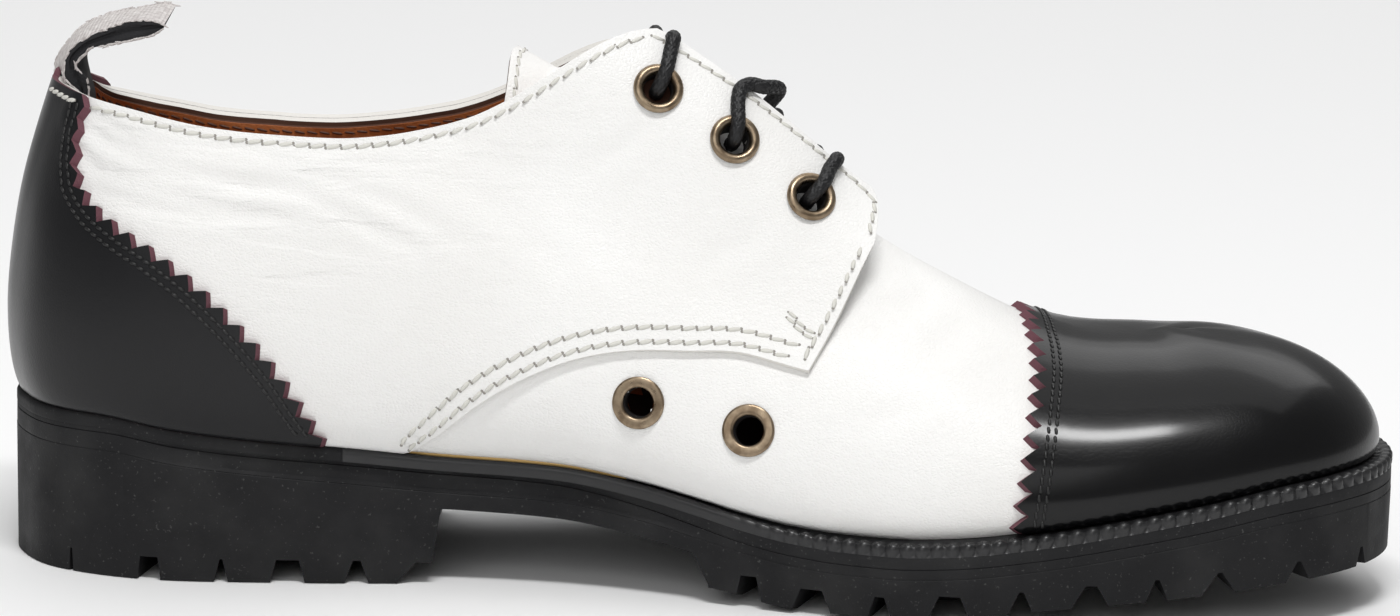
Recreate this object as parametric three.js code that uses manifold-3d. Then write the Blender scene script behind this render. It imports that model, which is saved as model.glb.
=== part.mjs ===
// A left spectator derby shoe on a lugged rubber sole, in millimetres.
// +X points to the toe, +Y to the outer side of the foot, +Z up. The floor is z = 0, and the
// origin lies on it under the middle of the heel.
import * as THREE from 'three';
import { mergeVertices } from 'three/addons/utils/BufferGeometryUtils.js';
import Module from 'manifold-3d';

const wasm = await Module();
wasm.setup();

// Driving sizes of the last, the form that the upper is pulled over.
const LAST_LENGTH = 270.5;
const BALL_WIDTH = 91.9;
const INSTEP_RISE = 71.6;
const BACK_HEIGHT = 62.4;
const HEEL_BEHIND_ORIGIN = 33.2;

// Driving sizes of the sole. Thicknesses are taken from the floor to the feather edge.
const HEEL_THICKNESS = 33.2;
const FOREFOOT_THICKNESS = 16.4;
const TOE_RISE = 13.4;
const TOE_SPRING = 10.3;
const SOLE_MARGIN = 5;
const WELT_THICKNESS = 2.4;
const WELT_WIDTH_UNDER = 6;
const WELT_RIB_PITCH = 5.2;
const WELT_RIB_DEPTH = 0.6;
const MIDSOLE_THICKNESS = 4.4;
const MIDSOLE_STEP_IN = 0.5;
const WAIST_THICKNESS = 10.2;
const LUG_HEIGHT = 5.4;
const LUG_PITCH = 13.7;
const LUG_REACH = 15.5;
const HEEL_LUG_HEIGHT = 4.8;
const BREAST_STEP_LENGTH = 6.2;
const BREAST_STEP_HEIGHT = 4.5;
const NARROW_GROOVE = 5.4;
const WIDE_GROOVE = 8.4;
const GROOVE_DRAFT = 4.4;
const CHANNEL_WIDTH = 3.2;
const BREAST_X = 51;
const TREAD_START_X = 106;
const RAND_END_X = 30;

// Leathers, and the clearance between pieces.
const GAP = 0.3;
const UPPER_WALL = 1.7;
const QUARTER_LEATHER = 1.3;
const CAP_LEATHER = 1.2;
const COUNTER_LEATHER = 1.1;
const TONGUE_LEATHER = 2;
const INSOLE_THICKNESS = 3.2;
const INNER_FACING_LIFT = 7.5;
const OUTER_FACING_LIFT = 4;
const THROAT_GAP = 10;

// Metal and cord.
const EYELET_RADIUS = 5.4;
const EYELET_BORE = 3;
const EYELET_BARREL = 3.5;
const EYELET_CROWN = 0.9;
const LACE_RADIUS = 1.65;
const LOOP_WIDTH = 16;
const LOOP_THICKNESS = 1.5;

// The ribs of the last, from the toe tip to the back of the heel. inX, inY and outX, outY
// place the feather edge on the inner and the outer side, and ridgeX, ridgeY, rise the upper
// end of both ribs. The X columns are shares of LAST_LENGTH from the back of the last, the Y
// columns of BALL_WIDTH, and rise is a share of INSTEP_RISE above the sole. inSwell and
// outSwell are shares of BALL_WIDTH, full is a plain exponent, margin a share of SOLE_MARGIN.
const RIBS = [
  { inX: 1, inY: -0.054, outX: 1, outY: -0.054, ridgeX: 0.862, ridgeY: -0.054, rise: 0.386,
    inSwell: 0.013, outSwell: 0.013, full: 0.82, margin: 1 },
  { inX: 0.985, inY: -0.218, outX: 0.982, outY: 0.114, ridgeX: 0.858, ridgeY: -0.054, rise: 0.387,
    inSwell: 0.013, outSwell: 0.013, full: 0.82, margin: 1 },
  { inX: 0.942, inY: -0.337, outX: 0.929, outY: 0.288, ridgeX: 0.847, ridgeY: -0.054, rise: 0.396,
    inSwell: 0.015, outSwell: 0.015, full: 0.84, margin: 1 },
  { inX: 0.868, inY: -0.413, outX: 0.836, outY: 0.424, ridgeX: 0.825, ridgeY: -0.06, rise: 0.401,
    inSwell: 0.02, outSwell: 0.02, full: 0.86, margin: 0.96 },
  { inX: 0.777, inY: -0.457, outX: 0.733, outY: 0.501, ridgeX: 0.773, ridgeY: -0.065, rise: 0.45,
    inSwell: 0.026, outSwell: 0.026, full: 0.92, margin: 0.92 },
  { inX: 0.681, inY: -0.465, outX: 0.622, outY: 0.535, ridgeX: 0.699, ridgeY: -0.065, rise: 0.609,
    inSwell: 0.033, outSwell: 0.033, full: 1, margin: 0.9 },
  { inX: 0.566, inY: -0.386, outX: 0.511, outY: 0.501, ridgeX: 0.614, ridgeY: -0.054, rise: 0.796,
    inSwell: 0.071, outSwell: 0.049, full: 1.08, margin: 0.68 },
  { inX: 0.444, inY: -0.299, outX: 0.4, outY: 0.424, ridgeX: 0.522, ridgeY: -0.044, rise: 1.04,
    inSwell: 0.098, outSwell: 0.054, full: 1, margin: 0.44 },
  { inX: 0.326, inY: -0.277, outX: 0.289, outY: 0.365, ridgeX: 0.411, ridgeY: -0.022, rise: 1.2,
    inSwell: 0.087, outSwell: 0.049, full: 0.85, margin: 0.4 },
  { inX: 0.208, inY: -0.31, outX: 0.186, outY: 0.337, ridgeX: 0.308, ridgeY: -0.011, rise: 1.28,
    inSwell: 0.054, outSwell: 0.044, full: 0.75, margin: 0.48 },
  { inX: 0.106, inY: -0.321, outX: 0.099, outY: 0.326, ridgeX: 0.219, ridgeY: 0, rise: 1.318,
    inSwell: 0.044, outSwell: 0.044, full: 0.8, margin: 0.56 },
  { inX: 0.038, inY: -0.245, outX: 0.034, outY: 0.245, ridgeX: 0.16, ridgeY: 0, rise: 1.363,
    inSwell: 0.039, outSwell: 0.039, full: 0.92, margin: 0.68 },
  { inX: 0.008, inY: -0.12, outX: 0.008, outY: 0.12, ridgeX: 0.13, ridgeY: 0, rise: 1.37,
    inSwell: 0.037, outSwell: 0.037, full: 1, margin: 0.76 },
  { inX: 0, inY: 0, outX: 0, outY: 0, ridgeX: 0.115, ridgeY: 0, rise: 1.365,
    inSwell: 0.037, outSwell: 0.037, full: 1, margin: 0.76 },
];

// The side profile of the sole. at is a share of LAST_LENGTH from the back of the last, lift a
// share of the difference between heel and forefoot, rise of TOE_RISE, spring of TOE_SPRING
// and lug of LUG_HEIGHT.
const PROFILE = [
  { at: -0.014, lift: 1, rise: 0, spring: 0, lug: 1 },
  { at: 0.064, lift: 1, rise: 0, spring: 0, lug: 1 },
  { at: 0.123, lift: 0.875, rise: 0, spring: 0, lug: 1 },
  { at: 0.176, lift: 0.78, rise: 0, spring: 0, lug: 1 },
  { at: 0.248, lift: 0.685, rise: 0, spring: 0, lug: 1 },
  { at: 0.315, lift: 0.59, rise: 0, spring: 0, lug: 1 },
  { at: 0.404, lift: 0.53, rise: 0, spring: 0.35, lug: 1 },
  { at: 0.467, lift: 0.387, rise: 0, spring: 0.35, lug: 1 },
  { at: 0.511, lift: 0.245, rise: 0, spring: 0.3, lug: 1 },
  { at: 0.544, lift: 0.13, rise: 0, spring: 0.15, lug: 1 },
  { at: 0.581, lift: 0.036, rise: 0, spring: 0, lug: 1 },
  { at: 0.618, lift: 0, rise: 0, spring: 0, lug: 1 },
  { at: 0.648, lift: 0, rise: 0, spring: 0, lug: 1 },
  { at: 0.7, lift: 0, rise: 0.06, spring: 0.105, lug: 1 },
  { at: 0.77, lift: 0, rise: 0.235, spring: 0.3, lug: 0.88 },
  { at: 0.825, lift: 0, rise: 0.43, spring: 0.46, lug: 0.8 },
  { at: 0.881, lift: 0, rise: 0.64, spring: 0.64, lug: 0.74 },
  { at: 0.951, lift: 0, rise: 0.918, spring: 0.875, lug: 0.62 },
  { at: 1.003, lift: 0, rise: 1, spring: 0.98, lug: 0.56 },
  { at: 1.025, lift: 0, rise: 1, spring: 1, lug: 0.55 },
];

// The topline of the inner side. at is the place on the ring of ribs, height a share of
// BACK_HEIGHT above the heel seat; outer drops it by that share on the outer side.
const TOPLINE = [
  { at: 7.5, height: 1.15, outer: 0.06 },
  { at: 7.62, height: 1.138, outer: 0.06 },
  { at: 7.68, height: 1.119, outer: 0.06 },
  { at: 7.78, height: 1.067, outer: 0.055 },
  { at: 8.04, height: 0.994, outer: 0.045 },
  { at: 8.22, height: 0.951, outer: 0.04 },
  { at: 8.54, height: 0.907, outer: 0.035 },
  { at: 8.96, height: 0.873, outer: 0.03 },
  { at: 9.5, height: 0.893, outer: 0.03 },
  { at: 10.34, height: 0.95, outer: 0.04 },
  { at: 11.26, height: 0.988, outer: 0.03 },
  { at: 12.2, height: 0.999, outer: 0 },
  { at: 13, height: 1, outer: 0 },
];

// Edges of the overlays on the ring: at is the place on the ring, up the share of the rib.
const QUARTER_EDGE = [
  { at: 5.84, up: 0.385 },
  { at: 6.2, up: 0.365 },
  { at: 6.58, up: 0.305 },
  { at: 7.06, up: 0.235 },
  { at: 7.42, up: 0.175 },
  { at: 7.8, up: 0.105 },
  { at: 8.14, up: 0.03 },
  { at: 8.32, up: 0 },
  { at: 13, up: 0 },
];
const COUNTER_EDGE = [
  { at: 8.72, up: 0.018 },
  { at: 9.08, up: 0.07 },
  { at: 9.36, up: 0.135 },
  { at: 9.66, up: 0.19 },
  { at: 10.06, up: 0.235 },
  { at: 10.62, up: 0.29 },
  { at: 11.06, up: 0.345 },
  { at: 11.34, up: 0.39 },
  { at: 11.56, up: 0.46 },
];
const CAP_SEAM = [
  { up: 0, at: 4.26 },
  { up: 0.3, at: 4.06 },
  { up: 0.52, at: 4.04 },
  { up: 0.83, at: 4.14 },
  { up: 1, at: 4.48 },
];
const FACING_EYELETS = [
  { name: 'top', at: 7.3, up: 0.8 },
  { name: 'middle', at: 6.8, up: 0.79 },
  { name: 'bottom', at: 6.26, up: 0.785 },
];
const VENT_EYELETS = [
  { name: 'rear', at: 6.78, up: 0.175 },
  { name: 'front', at: 6.12, up: 0.21 },
];

// The tongue. up is the lowest share of the rib that it reaches, dip how far it lies below
// the form, as a share of INSTEP_RISE, and crest how far its middle reaches back on the ring.
const TONGUE = [
  { at: 5.7, up: 0.86, dip: 0, crest: 0 },
  { at: 6, up: 0.72, dip: 0, crest: 0 },
  { at: 6.5, up: 0.62, dip: 0.01, crest: 0.03 },
  { at: 7.2, up: 0.6, dip: 0.08, crest: 0.14 },
  { at: 7.6, up: 0.6, dip: 0.18, crest: 0.34 },
  { at: 7.8, up: 0.62, dip: 0.2, crest: 0.48 },
  { at: 7.94, up: 0.66, dip: 0.17, crest: 0.58 },
  { at: 8, up: 0.74, dip: 0.15, crest: 0.6 },
];

// The pull loop seen from the side: along forward of the back of the collar and above it.
const LOOP_PATH = [
  { along: 2.6, above: 0.8 },
  { along: 2.9, above: 4 },
  { along: 5.2, above: 7.2 },
  { along: 10, above: 10.1 },
  { along: 16.4, above: 11.9 },
  { along: 22.4, above: 13.6 },
  { along: 23.9, above: 12.7 },
  { along: 22.2, above: 11.1 },
  { along: 16, above: 7.9 },
  { along: 11.2, above: 5.2 },
  { along: 9, above: 2.2 },
  { along: 8.2, above: -2 },
  { along: 7, above: -9 },
];

const SIDE_ROWS = RIBS.length - 1;
const RING = SIDE_ROWS * 2;
const SWELL_PEAK = 0.2108;
const RIDGE = 1;

function clamp(value, low, high) {
  return Math.min(high, Math.max(low, value));
}

function ease(value) {
  const v = clamp(value, 0, 1);
  return v * v * (3 - 2 * v);
}

// A smooth reading of a table that never swings past its rows.
function reading(table, key, column, place) {
  const count = table.length;
  const at = clamp(place, table[0][key], table[count - 1][key]);
  let i = 0;
  while (i < count - 2 && at > table[i + 1][key]) {
    i += 1;
  }
  const slope = (k) => (table[k + 1][column] - table[k][column]) / (table[k + 1][key] - table[k][key]);
  const tangent = (k) => {
    if (k === 0) {
      return slope(0);
    }
    if (k === count - 1) {
      return slope(count - 2);
    }
    const before = slope(k - 1);
    const after = slope(k);
    return before * after <= 0 ? 0 : (2 * before * after) / (before + after);
  };
  const span = table[i + 1][key] - table[i][key];
  const f = (at - table[i][key]) / span;
  const g = 1 - f;
  return table[i][column] * (1 + 2 * f) * g * g + span * tangent(i) * f * g * g
    + table[i + 1][column] * f * f * (3 - 2 * f) + span * tangent(i + 1) * f * f * (f - 1);
}

const shareAt = (x) => (x + HEEL_BEHIND_ORIGIN) / LAST_LENGTH;
const profileAt = (x, column) => reading(PROFILE, 'at', column, shareAt(x));

function bed(x) {
  return FOREFOOT_THICKNESS + (HEEL_THICKNESS - FOREFOOT_THICKNESS) * profileAt(x, 'lift')
    + TOE_RISE * profileAt(x, 'rise');
}

const tread = (x) => TOE_SPRING * profileAt(x, 'spring');
const web = (x) => tread(x) + LUG_HEIGHT * profileAt(x, 'lug');

// The closed ring of ribs: the toe, the inner side, the heel, the outer side.
const RING_COLUMNS = ['x', 'y', 'ridgeX', 'ridgeY', 'ridgeZ', 'swell', 'full', 'margin'];

function ringRow(row, side) {
  const ridgeX = row.ridgeX * LAST_LENGTH - HEEL_BEHIND_ORIGIN;
  return {
    x: row[`${side}X`] * LAST_LENGTH - HEEL_BEHIND_ORIGIN,
    y: row[`${side}Y`] * BALL_WIDTH,
    ridgeX,
    ridgeY: row.ridgeY * BALL_WIDTH,
    ridgeZ: bed(ridgeX) + row.rise * INSTEP_RISE,
    swell: row[`${side}Swell`] * BALL_WIDTH,
    full: row.full,
    margin: row.margin * SOLE_MARGIN,
  };
}

const ring = [
  ...RIBS.map((row) => ringRow(row, 'in')),
  ...RIBS.slice(1, -1).reverse().map((row) => ringRow(row, 'out')),
];

function rib(place) {
  const s = ((place % RING) + RING) % RING;
  const i = Math.floor(s);
  const f = s - i;
  const rows = [-1, 0, 1, 2].map((step) => ring[(i + step + RING) % RING]);
  const result = {};
  for (const column of RING_COLUMNS) {
    const [a, b, c, d] = rows.map((row) => row[column]);
    result[column] = 0.5 * (2 * b + (c - a) * f + (2 * a - 5 * b + 4 * c - d) * f * f
      + (3 * b - 3 * c + d - a) * f * f * f);
  }
  return result;
}

const RIB_STEP = 0.01;

// The level direction that points out of the shoe at a place on the ring.
function outward(place) {
  const ahead = rib(place + RIB_STEP);
  const behind = rib(place - RIB_STEP);
  return new THREE.Vector2(behind.y - ahead.y, ahead.x - behind.x).normalize();
}

// A point of the last: place goes round the ring, up goes from the feather edge to the ridge.
function lastPoint(place, up) {
  const r = rib(place);
  const side = outward(place);
  const angle = (up * Math.PI) / 2;
  const height = Math.sin(angle);
  const inward = Math.max(0, Math.cos(angle)) ** r.full;
  const swell = (r.swell * height ** 0.7 * (1 - height) ** 2) / SWELL_PEAK;
  const base = bed(r.x);
  return new THREE.Vector3(
    r.ridgeX + (r.x - r.ridgeX) * inward + side.x * swell,
    r.ridgeY + (r.y - r.ridgeY) * inward + side.y * swell,
    base + (r.ridgeZ - base) * height,
  );
}

const UP_STEP = 0.004;
const LEVEL_NEAR_FEATHER = 0.12;

function sideNormal(place, up) {
  const along = lastPoint(place + RIB_STEP, up).sub(lastPoint(place - RIB_STEP, up));
  const high = lastPoint(place, Math.min(RIDGE, up + UP_STEP));
  const across = high.sub(lastPoint(place, Math.max(0, up - UP_STEP)));
  const normal = across.cross(along);
  normal.z *= ease(up / LEVEL_NEAR_FEATHER);
  return normal.normalize();
}

// The direction out of the leather. It is level at the feather edge, and both sides agree
// on the ridge.
function lastNormal(place, up) {
  const normal = sideNormal(place, up);
  if (up >= RIDGE) {
    normal.add(sideNormal(RING - place, up)).normalize();
  }
  return normal;
}

const onInner = (place) => Math.min(place, RING - place);

// How far the facings stand off the last. They ride over the tongue, highest at the throat.
const LIFT_FROM_UP = 0.42;
const LIFT_FULL_UP = 0.86;
const LIFT_FROM_PLACE = 8.75;
const LIFT_FULL_PLACE = 7.75;
const VAMP_PLACE = 5.95;
const VAMP_FULL_PLACE = 6.4;

function facingLift(place, up) {
  const rise = ease((up - LIFT_FROM_UP) / (LIFT_FULL_UP - LIFT_FROM_UP));
  const fade = ease((LIFT_FROM_PLACE - onInner(place)) / (LIFT_FROM_PLACE - LIFT_FULL_PLACE));
  return (place > SIDE_ROWS ? OUTER_FACING_LIFT : INNER_FACING_LIFT) * rise * fade;
}

function vampFade(place) {
  return ease((onInner(place) - VAMP_PLACE) / (VAMP_FULL_PLACE - VAMP_PLACE));
}

const quarterPoint = (place, up, offset) => lastPoint(place, up)
  .addScaledVector(lastNormal(place, up), offset + facingLift(place, up));
const upperPoint = (place, up, offset) => lastPoint(place, up)
  .addScaledVector(lastNormal(place, up), offset + facingLift(place, up) * vampFade(place));

// The upper edge of the leather: the topline, and then the edge of the throat.
function shareAtHeight(place, height) {
  const r = rib(place);
  const base = bed(r.x);
  return (2 / Math.PI) * Math.asin(clamp((height - base) / (r.ridgeZ - base), 0, RIDGE));
}

function throatShare(place) {
  const r = rib(place);
  const share = clamp(THROAT_GAP / 2 / Math.abs(r.y - r.ridgeY), 0, 1);
  return (2 / Math.PI) * Math.acos(share ** (1 / r.full));
}

const TOPLINE_ALONE_PLACE = 8.5;

function collarShare(place) {
  const at = onInner(place);
  if (at <= TOPLINE[0].at) {
    return throatShare(place);
  }
  const throat = at < TOPLINE_ALONE_PLACE ? throatShare(place) : RIDGE;
  const outer = place > SIDE_ROWS ? reading(TOPLINE, 'at', 'outer', at) : 0;
  const height = HEEL_THICKNESS + (reading(TOPLINE, 'at', 'height', at) - outer) * BACK_HEIGHT;
  return Math.min(shareAtHeight(place, height), throat);
}

// Turns a grid of places into a skin of leather between two offsets. A place on the ridge is
// shared by both sides, and every free edge of the outer face is walled to the inner one.
function skin(columns, point, low, high) {
  const corners = [];
  const seen = new Map();
  const cornerOf = (place, up) => {
    const at = up >= RIDGE ? onInner(((place % RING) + RING) % RING) : ((place % RING) + RING) % RING;
    const key = `${at.toFixed(5)}/${up.toFixed(5)}`;
    if (!seen.has(key)) {
      seen.set(key, corners.length);
      corners.push({ at, up });
    }
    return seen.get(key);
  };
  const outer = [];
  const addOuter = (a, b, c) => {
    if (a !== b && b !== c && a !== c) {
      outer.push([a, b, c]);
    }
  };
  for (let i = 0; i + 1 < columns.length; i += 1) {
    for (let j = 0; j + 1 < columns[i].length; j += 1) {
      const a = cornerOf(...columns[i][j]);
      const b = cornerOf(...columns[i + 1][j]);
      const c = cornerOf(...columns[i + 1][j + 1]);
      const d = cornerOf(...columns[i][j + 1]);
      addOuter(a, b, c);
      addOuter(a, c, d);
    }
  }
  const edges = new Set(outer.flatMap(([a, b, c]) => [`${a}/${b}`, `${b}/${c}`, `${c}/${a}`]));
  const count = corners.length;
  const triangles = [];
  for (const [a, b, c] of outer) {
    triangles.push([a, c, b], [a + count, b + count, c + count]);
    for (const [from, to] of [[a, b], [b, c], [c, a]]) {
      if (!edges.has(`${to}/${from}`)) {
        triangles.push([from, to, to + count], [from, to + count, from + count]);
      }
    }
  }
  const positions = [high, low].flatMap((offset) => corners.map(({ at, up }) => {
    const value = typeof offset === 'function' ? offset(at, up) : offset;
    return point(at, up, value);
  }));
  return meshGeometry(positions, triangles);
}

// Plain geometry helpers.
function meshGeometry(points, triangles) {
  const geometry = new THREE.BufferGeometry();
  const flat = points.flatMap((p) => [p.x, p.y, p.z]);
  geometry.setAttribute('position', new THREE.Float32BufferAttribute(flat, 3));
  geometry.setIndex(triangles.flat());
  return signedVolume(geometry) < 0 ? flipped(geometry) : geometry;
}

function flipped(geometry) {
  const index = geometry.index.array;
  for (let i = 0; i < index.length; i += 3) {
    [index[i + 1], index[i + 2]] = [index[i + 2], index[i + 1]];
  }
  return geometry;
}

function signedVolume(geometry) {
  const position = geometry.attributes.position;
  const index = geometry.index.array;
  const [a, b, c] = [new THREE.Vector3(), new THREE.Vector3(), new THREE.Vector3()];
  let volume = 0;
  for (let i = 0; i < index.length; i += 3) {
    a.fromBufferAttribute(position, index[i]);
    b.fromBufferAttribute(position, index[i + 1]);
    c.fromBufferAttribute(position, index[i + 2]);
    volume += a.dot(b.cross(c)) / 6;
  }
  return volume;
}

function welded(geometry) {
  const bare = geometry.clone();
  for (const name of ['normal', 'uv']) {
    bare.deleteAttribute(name);
  }
  const merged = mergeVertices(bare);
  return signedVolume(merged) < 0 ? flipped(merged) : merged;
}

function toSolid(geometry) {
  const merged = welded(geometry);
  return new wasm.Manifold(new wasm.Mesh({
    numProp: 3,
    vertProperties: Float32Array.from(merged.attributes.position.array),
    triVerts: Uint32Array.from(merged.index.array),
  }));
}

function toGeometry(solid) {
  const mesh = solid.getMesh();
  const geometry = new THREE.BufferGeometry();
  geometry.setAttribute('position', new THREE.Float32BufferAttribute(mesh.vertProperties, 3));
  geometry.setIndex(Array.from(mesh.triVerts));
  return geometry;
}

// A solid between two like faces whose corners run the same way round.
function wedge([first, second]) {
  const count = first.length;
  const faces = [];
  for (let i = 1; i + 1 < count; i += 1) {
    faces.push([0, i + 1, i], [count, count + i, count + i + 1]);
  }
  for (let i = 0; i < count; i += 1) {
    const next = (i + 1) % count;
    faces.push([i, next, next + count], [i, next + count, i + count]);
  }
  return toSolid(meshGeometry([...first, ...second], faces));
}

// A point beside the sole's edge: distance out from the feather edge, and side along it.
function edgePoint(place, distance, side, z) {
  const r = rib(place);
  const out = outward(place);
  return new THREE.Vector3(r.x + out.x * distance - out.y * side, r.y + out.y * distance + out.x * side, z);
}

const DEEP = 30;
const BROAD = 80;

function prism(outline, from, to) {
  const shape = new THREE.Shape(outline);
  const geometry = new THREE.ExtrudeGeometry(shape, { depth: to - from, bevelEnabled: false });
  return toSolid(geometry.translate(0, 0, from));
}

function sideStrip(upperLine, lowerLine) {
  const shape = new THREE.Shape([...upperLine, ...lowerLine.reverse()]);
  const geometry = new THREE.ExtrudeGeometry(shape, { depth: 2 * BROAD, bevelEnabled: false });
  return toSolid(geometry.rotateX(Math.PI / 2).translate(0, BROAD, 0));
}

// Outlines of the sole in plan, grown outward from the feather edge.
const OUTLINE_POINTS = 64;

function outline(grow) {
  return Array.from({ length: OUTLINE_POINTS }, (_, i) => {
    const place = (i * RING) / OUTLINE_POINTS;
    const r = rib(place);
    return new THREE.Vector2(r.x, r.y).addScaledVector(outward(place), grow(r));
  });
}

const BACK_X = -HEEL_BEHIND_ORIGIN - 2 * SOLE_MARGIN;
const FRONT_X = LAST_LENGTH - HEEL_BEHIND_ORIGIN + 2 * SOLE_MARGIN;
const STATION = 12;

function stations(from, to) {
  const count = Math.ceil((to - from) / STATION);
  return Array.from({ length: count + 1 }, (_, i) => from + ((to - from) * i) / count);
}

const line = (from, to, height) => stations(from, to).map((x) => new THREE.Vector2(x, height(x)));

function slab(grow, top, bottom, from = BACK_X, to = FRONT_X) {
  const between = sideStrip(line(from, to, top), line(from, to, bottom));
  return prism(outline(grow), -DEEP, 2 * DEEP).intersect(between);
}

// Layers of the sole, from the feather edge down.
const seat = (x) => bed(x) - GAP;
const underWelt = (x) => seat(x) - WELT_THICKNESS;
const midsoleTop = (x) => underWelt(x) - GAP;
const midsoleBottom = (x) => midsoleTop(x) - MIDSOLE_THICKNESS;
const outsoleTop = (x) => midsoleBottom(x) - GAP;
const waist = (x) => bed(x) - GAP - WAIST_THICKNESS;

function weltRing(from, to) {
  const band = slab((r) => r.margin, seat, underWelt, from, to);
  return band.subtract(prism(outline(() => -WELT_WIDTH_UNDER), -DEEP, 2 * DEEP));
}

// Small V cuts across the top of the welt, all round the forefoot.
function weltNotches() {
  const cuts = [];
  let travelled = 0;
  let previous = rib(0);
  for (let place = RIB_STEP; place < RING; place += RIB_STEP) {
    const r = rib(place);
    travelled += Math.hypot(r.x - previous.x, r.y - previous.y);
    previous = r;
    if (travelled >= WELT_RIB_PITCH) {
      travelled -= WELT_RIB_PITCH;
      if (r.x > TREAD_START_X) {
        cuts.push(weltNotch(place, r));
      }
    }
  }
  return wasm.Manifold.union(cuts);
}

const WELT_RIB_SHARE = 0.67;

function weltNotch(place, r) {
  const half = (WELT_RIB_PITCH * (1 - WELT_RIB_SHARE));
  const level = seat(r.x);
  const high = level + half;
  const low = level - WELT_RIB_DEPTH;
  const far = r.margin + SOLE_MARGIN;
  const spreadAt = (half * (high - low)) / WELT_RIB_DEPTH / 2;
  return wedge([-GAP, far].map((distance) => [
    edgePoint(place, distance, 0, low),
    edgePoint(place, distance, spreadAt, high),
    edgePoint(place, distance, -spreadAt, high),
  ]));
}

// One groove of the tread, cut in from the edge at right angles to the outline.
function groove(place, width, root) {
  const r = rib(place);
  const bottom = -SOLE_MARGIN;
  const open = width / 2;
  const closed = Math.max((width - GROOVE_DRAFT) / 2, GAP);
  const level = tread(r.x);
  const wide = open + ((open - closed) * (level - bottom)) / (root - level);
  const ends = [r.margin + SOLE_MARGIN, r.margin - LUG_REACH - CHANNEL_WIDTH / 2];
  return wedge(ends.map((distance) => [
    edgePoint(place, distance, -wide, bottom),
    edgePoint(place, distance, wide, bottom),
    edgePoint(place, distance, closed, root),
    edgePoint(place, distance, -closed, root),
  ]));
}

// Places along one side of the ring, a lug pitch apart, between two stations.
function groovePlaces(side, from, to, pitch) {
  const places = [];
  let travelled = pitch;
  let previous = rib(0);
  for (let at = RIB_STEP; at < SIDE_ROWS; at += RIB_STEP) {
    const r = rib(side * at);
    travelled += Math.hypot(r.x - previous.x, r.y - previous.y);
    previous = r;
    if (r.x < to && r.x > from && travelled >= pitch) {
      travelled = 0;
      places.push(side * at);
    }
  }
  return places;
}

// The lower front corner of the heel is cut back to a step.
function breastStep() {
  const corner = [
    [BREAST_X - BREAST_STEP_LENGTH - BREAST_STEP_HEIGHT, -GAP],
    [BREAST_X - BREAST_STEP_LENGTH, BREAST_STEP_HEIGHT],
    [BREAST_X + GAP, BREAST_STEP_HEIGHT],
    [BREAST_X + GAP, -GAP],
  ];
  return wedge([-BROAD, BROAD].map((y) => corner.map(([x, z]) => new THREE.Vector3(x, y, z))));
}

function treadCutters() {
  const cutters = [breastStep()];
  const front = LAST_LENGTH - HEEL_BEHIND_ORIGIN - SOLE_MARGIN / 2;
  for (const side of [1, -1]) {
    groovePlaces(side, TREAD_START_X + SOLE_MARGIN, front, LUG_PITCH).forEach((place, i) => {
      cutters.push(groove(place, i % 2 ? WIDE_GROOVE : NARROW_GROOVE, web(rib(place).x)));
    });
    groovePlaces(side, -HEEL_BEHIND_ORIGIN, BREAST_X - LUG_PITCH / 2, LUG_PITCH).forEach((place, i) => {
      cutters.push(groove(place, i % 2 ? NARROW_GROOVE : WIDE_GROOVE, HEEL_LUG_HEIGHT));
    });
  }
  return wasm.Manifold.union(cutters);
}

// The channel behind the edge lugs, and the cross grooves between the middle blocks.
function channelCutter(from, to, root, crossAt) {
  const inside = (inset) => prism(outline((r) => r.margin - inset), -DEEP, 2 * DEEP);
  const under = sideStrip(line(from, to, root), line(from, to, () => -DEEP / 2));
  const ringCut = inside(LUG_REACH).subtract(inside(LUG_REACH + CHANNEL_WIDTH)).intersect(under);
  const half = CHANNEL_WIDTH / 2;
  const bars = crossAt.map((x) => sideStrip(
    [new THREE.Vector2(x - half, root(x)), new THREE.Vector2(x + half, root(x))],
    [new THREE.Vector2(x - half, -DEEP / 2), new THREE.Vector2(x + half, -DEEP / 2)],
  ).intersect(inside(LUG_REACH)));
  return wasm.Manifold.union([ringCut, ...bars]);
}

const CROSS_EVERY = 4;
const CROSS_FIRST = 2;
const crossPlaces = (from, to) => stations(from, to)
  .filter((_, i, all) => i % CROSS_EVERY === CROSS_FIRST && i < all.length - 1);

function outsoleSolid() {
  const grow = (r) => r.margin;
  const heel = slab(grow, outsoleTop, () => 0, BACK_X, BREAST_X);
  const shank = slab(grow, outsoleTop, waist, BREAST_X - STATION, TREAD_START_X + STATION);
  const fore = slab(grow, outsoleTop, tread, TREAD_START_X, FRONT_X);
  const heelCross = crossPlaces(-HEEL_BEHIND_ORIGIN, BREAST_X);
  return wasm.Manifold.union([heel, shank, fore])
    .subtract(treadCutters())
    .subtract(channelCutter(TREAD_START_X - STATION, FRONT_X, web, crossPlaces(TREAD_START_X, FRONT_X)))
    .subtract(channelCutter(BACK_X, BREAST_X + STATION, () => HEEL_LUG_HEIGHT, heelCross));
}

// Grids of places for the leather pieces.
function spread(from, to, count) {
  return Array.from({ length: count + 1 }, (_, i) => from + ((to - from) * i) / count);
}

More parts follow.
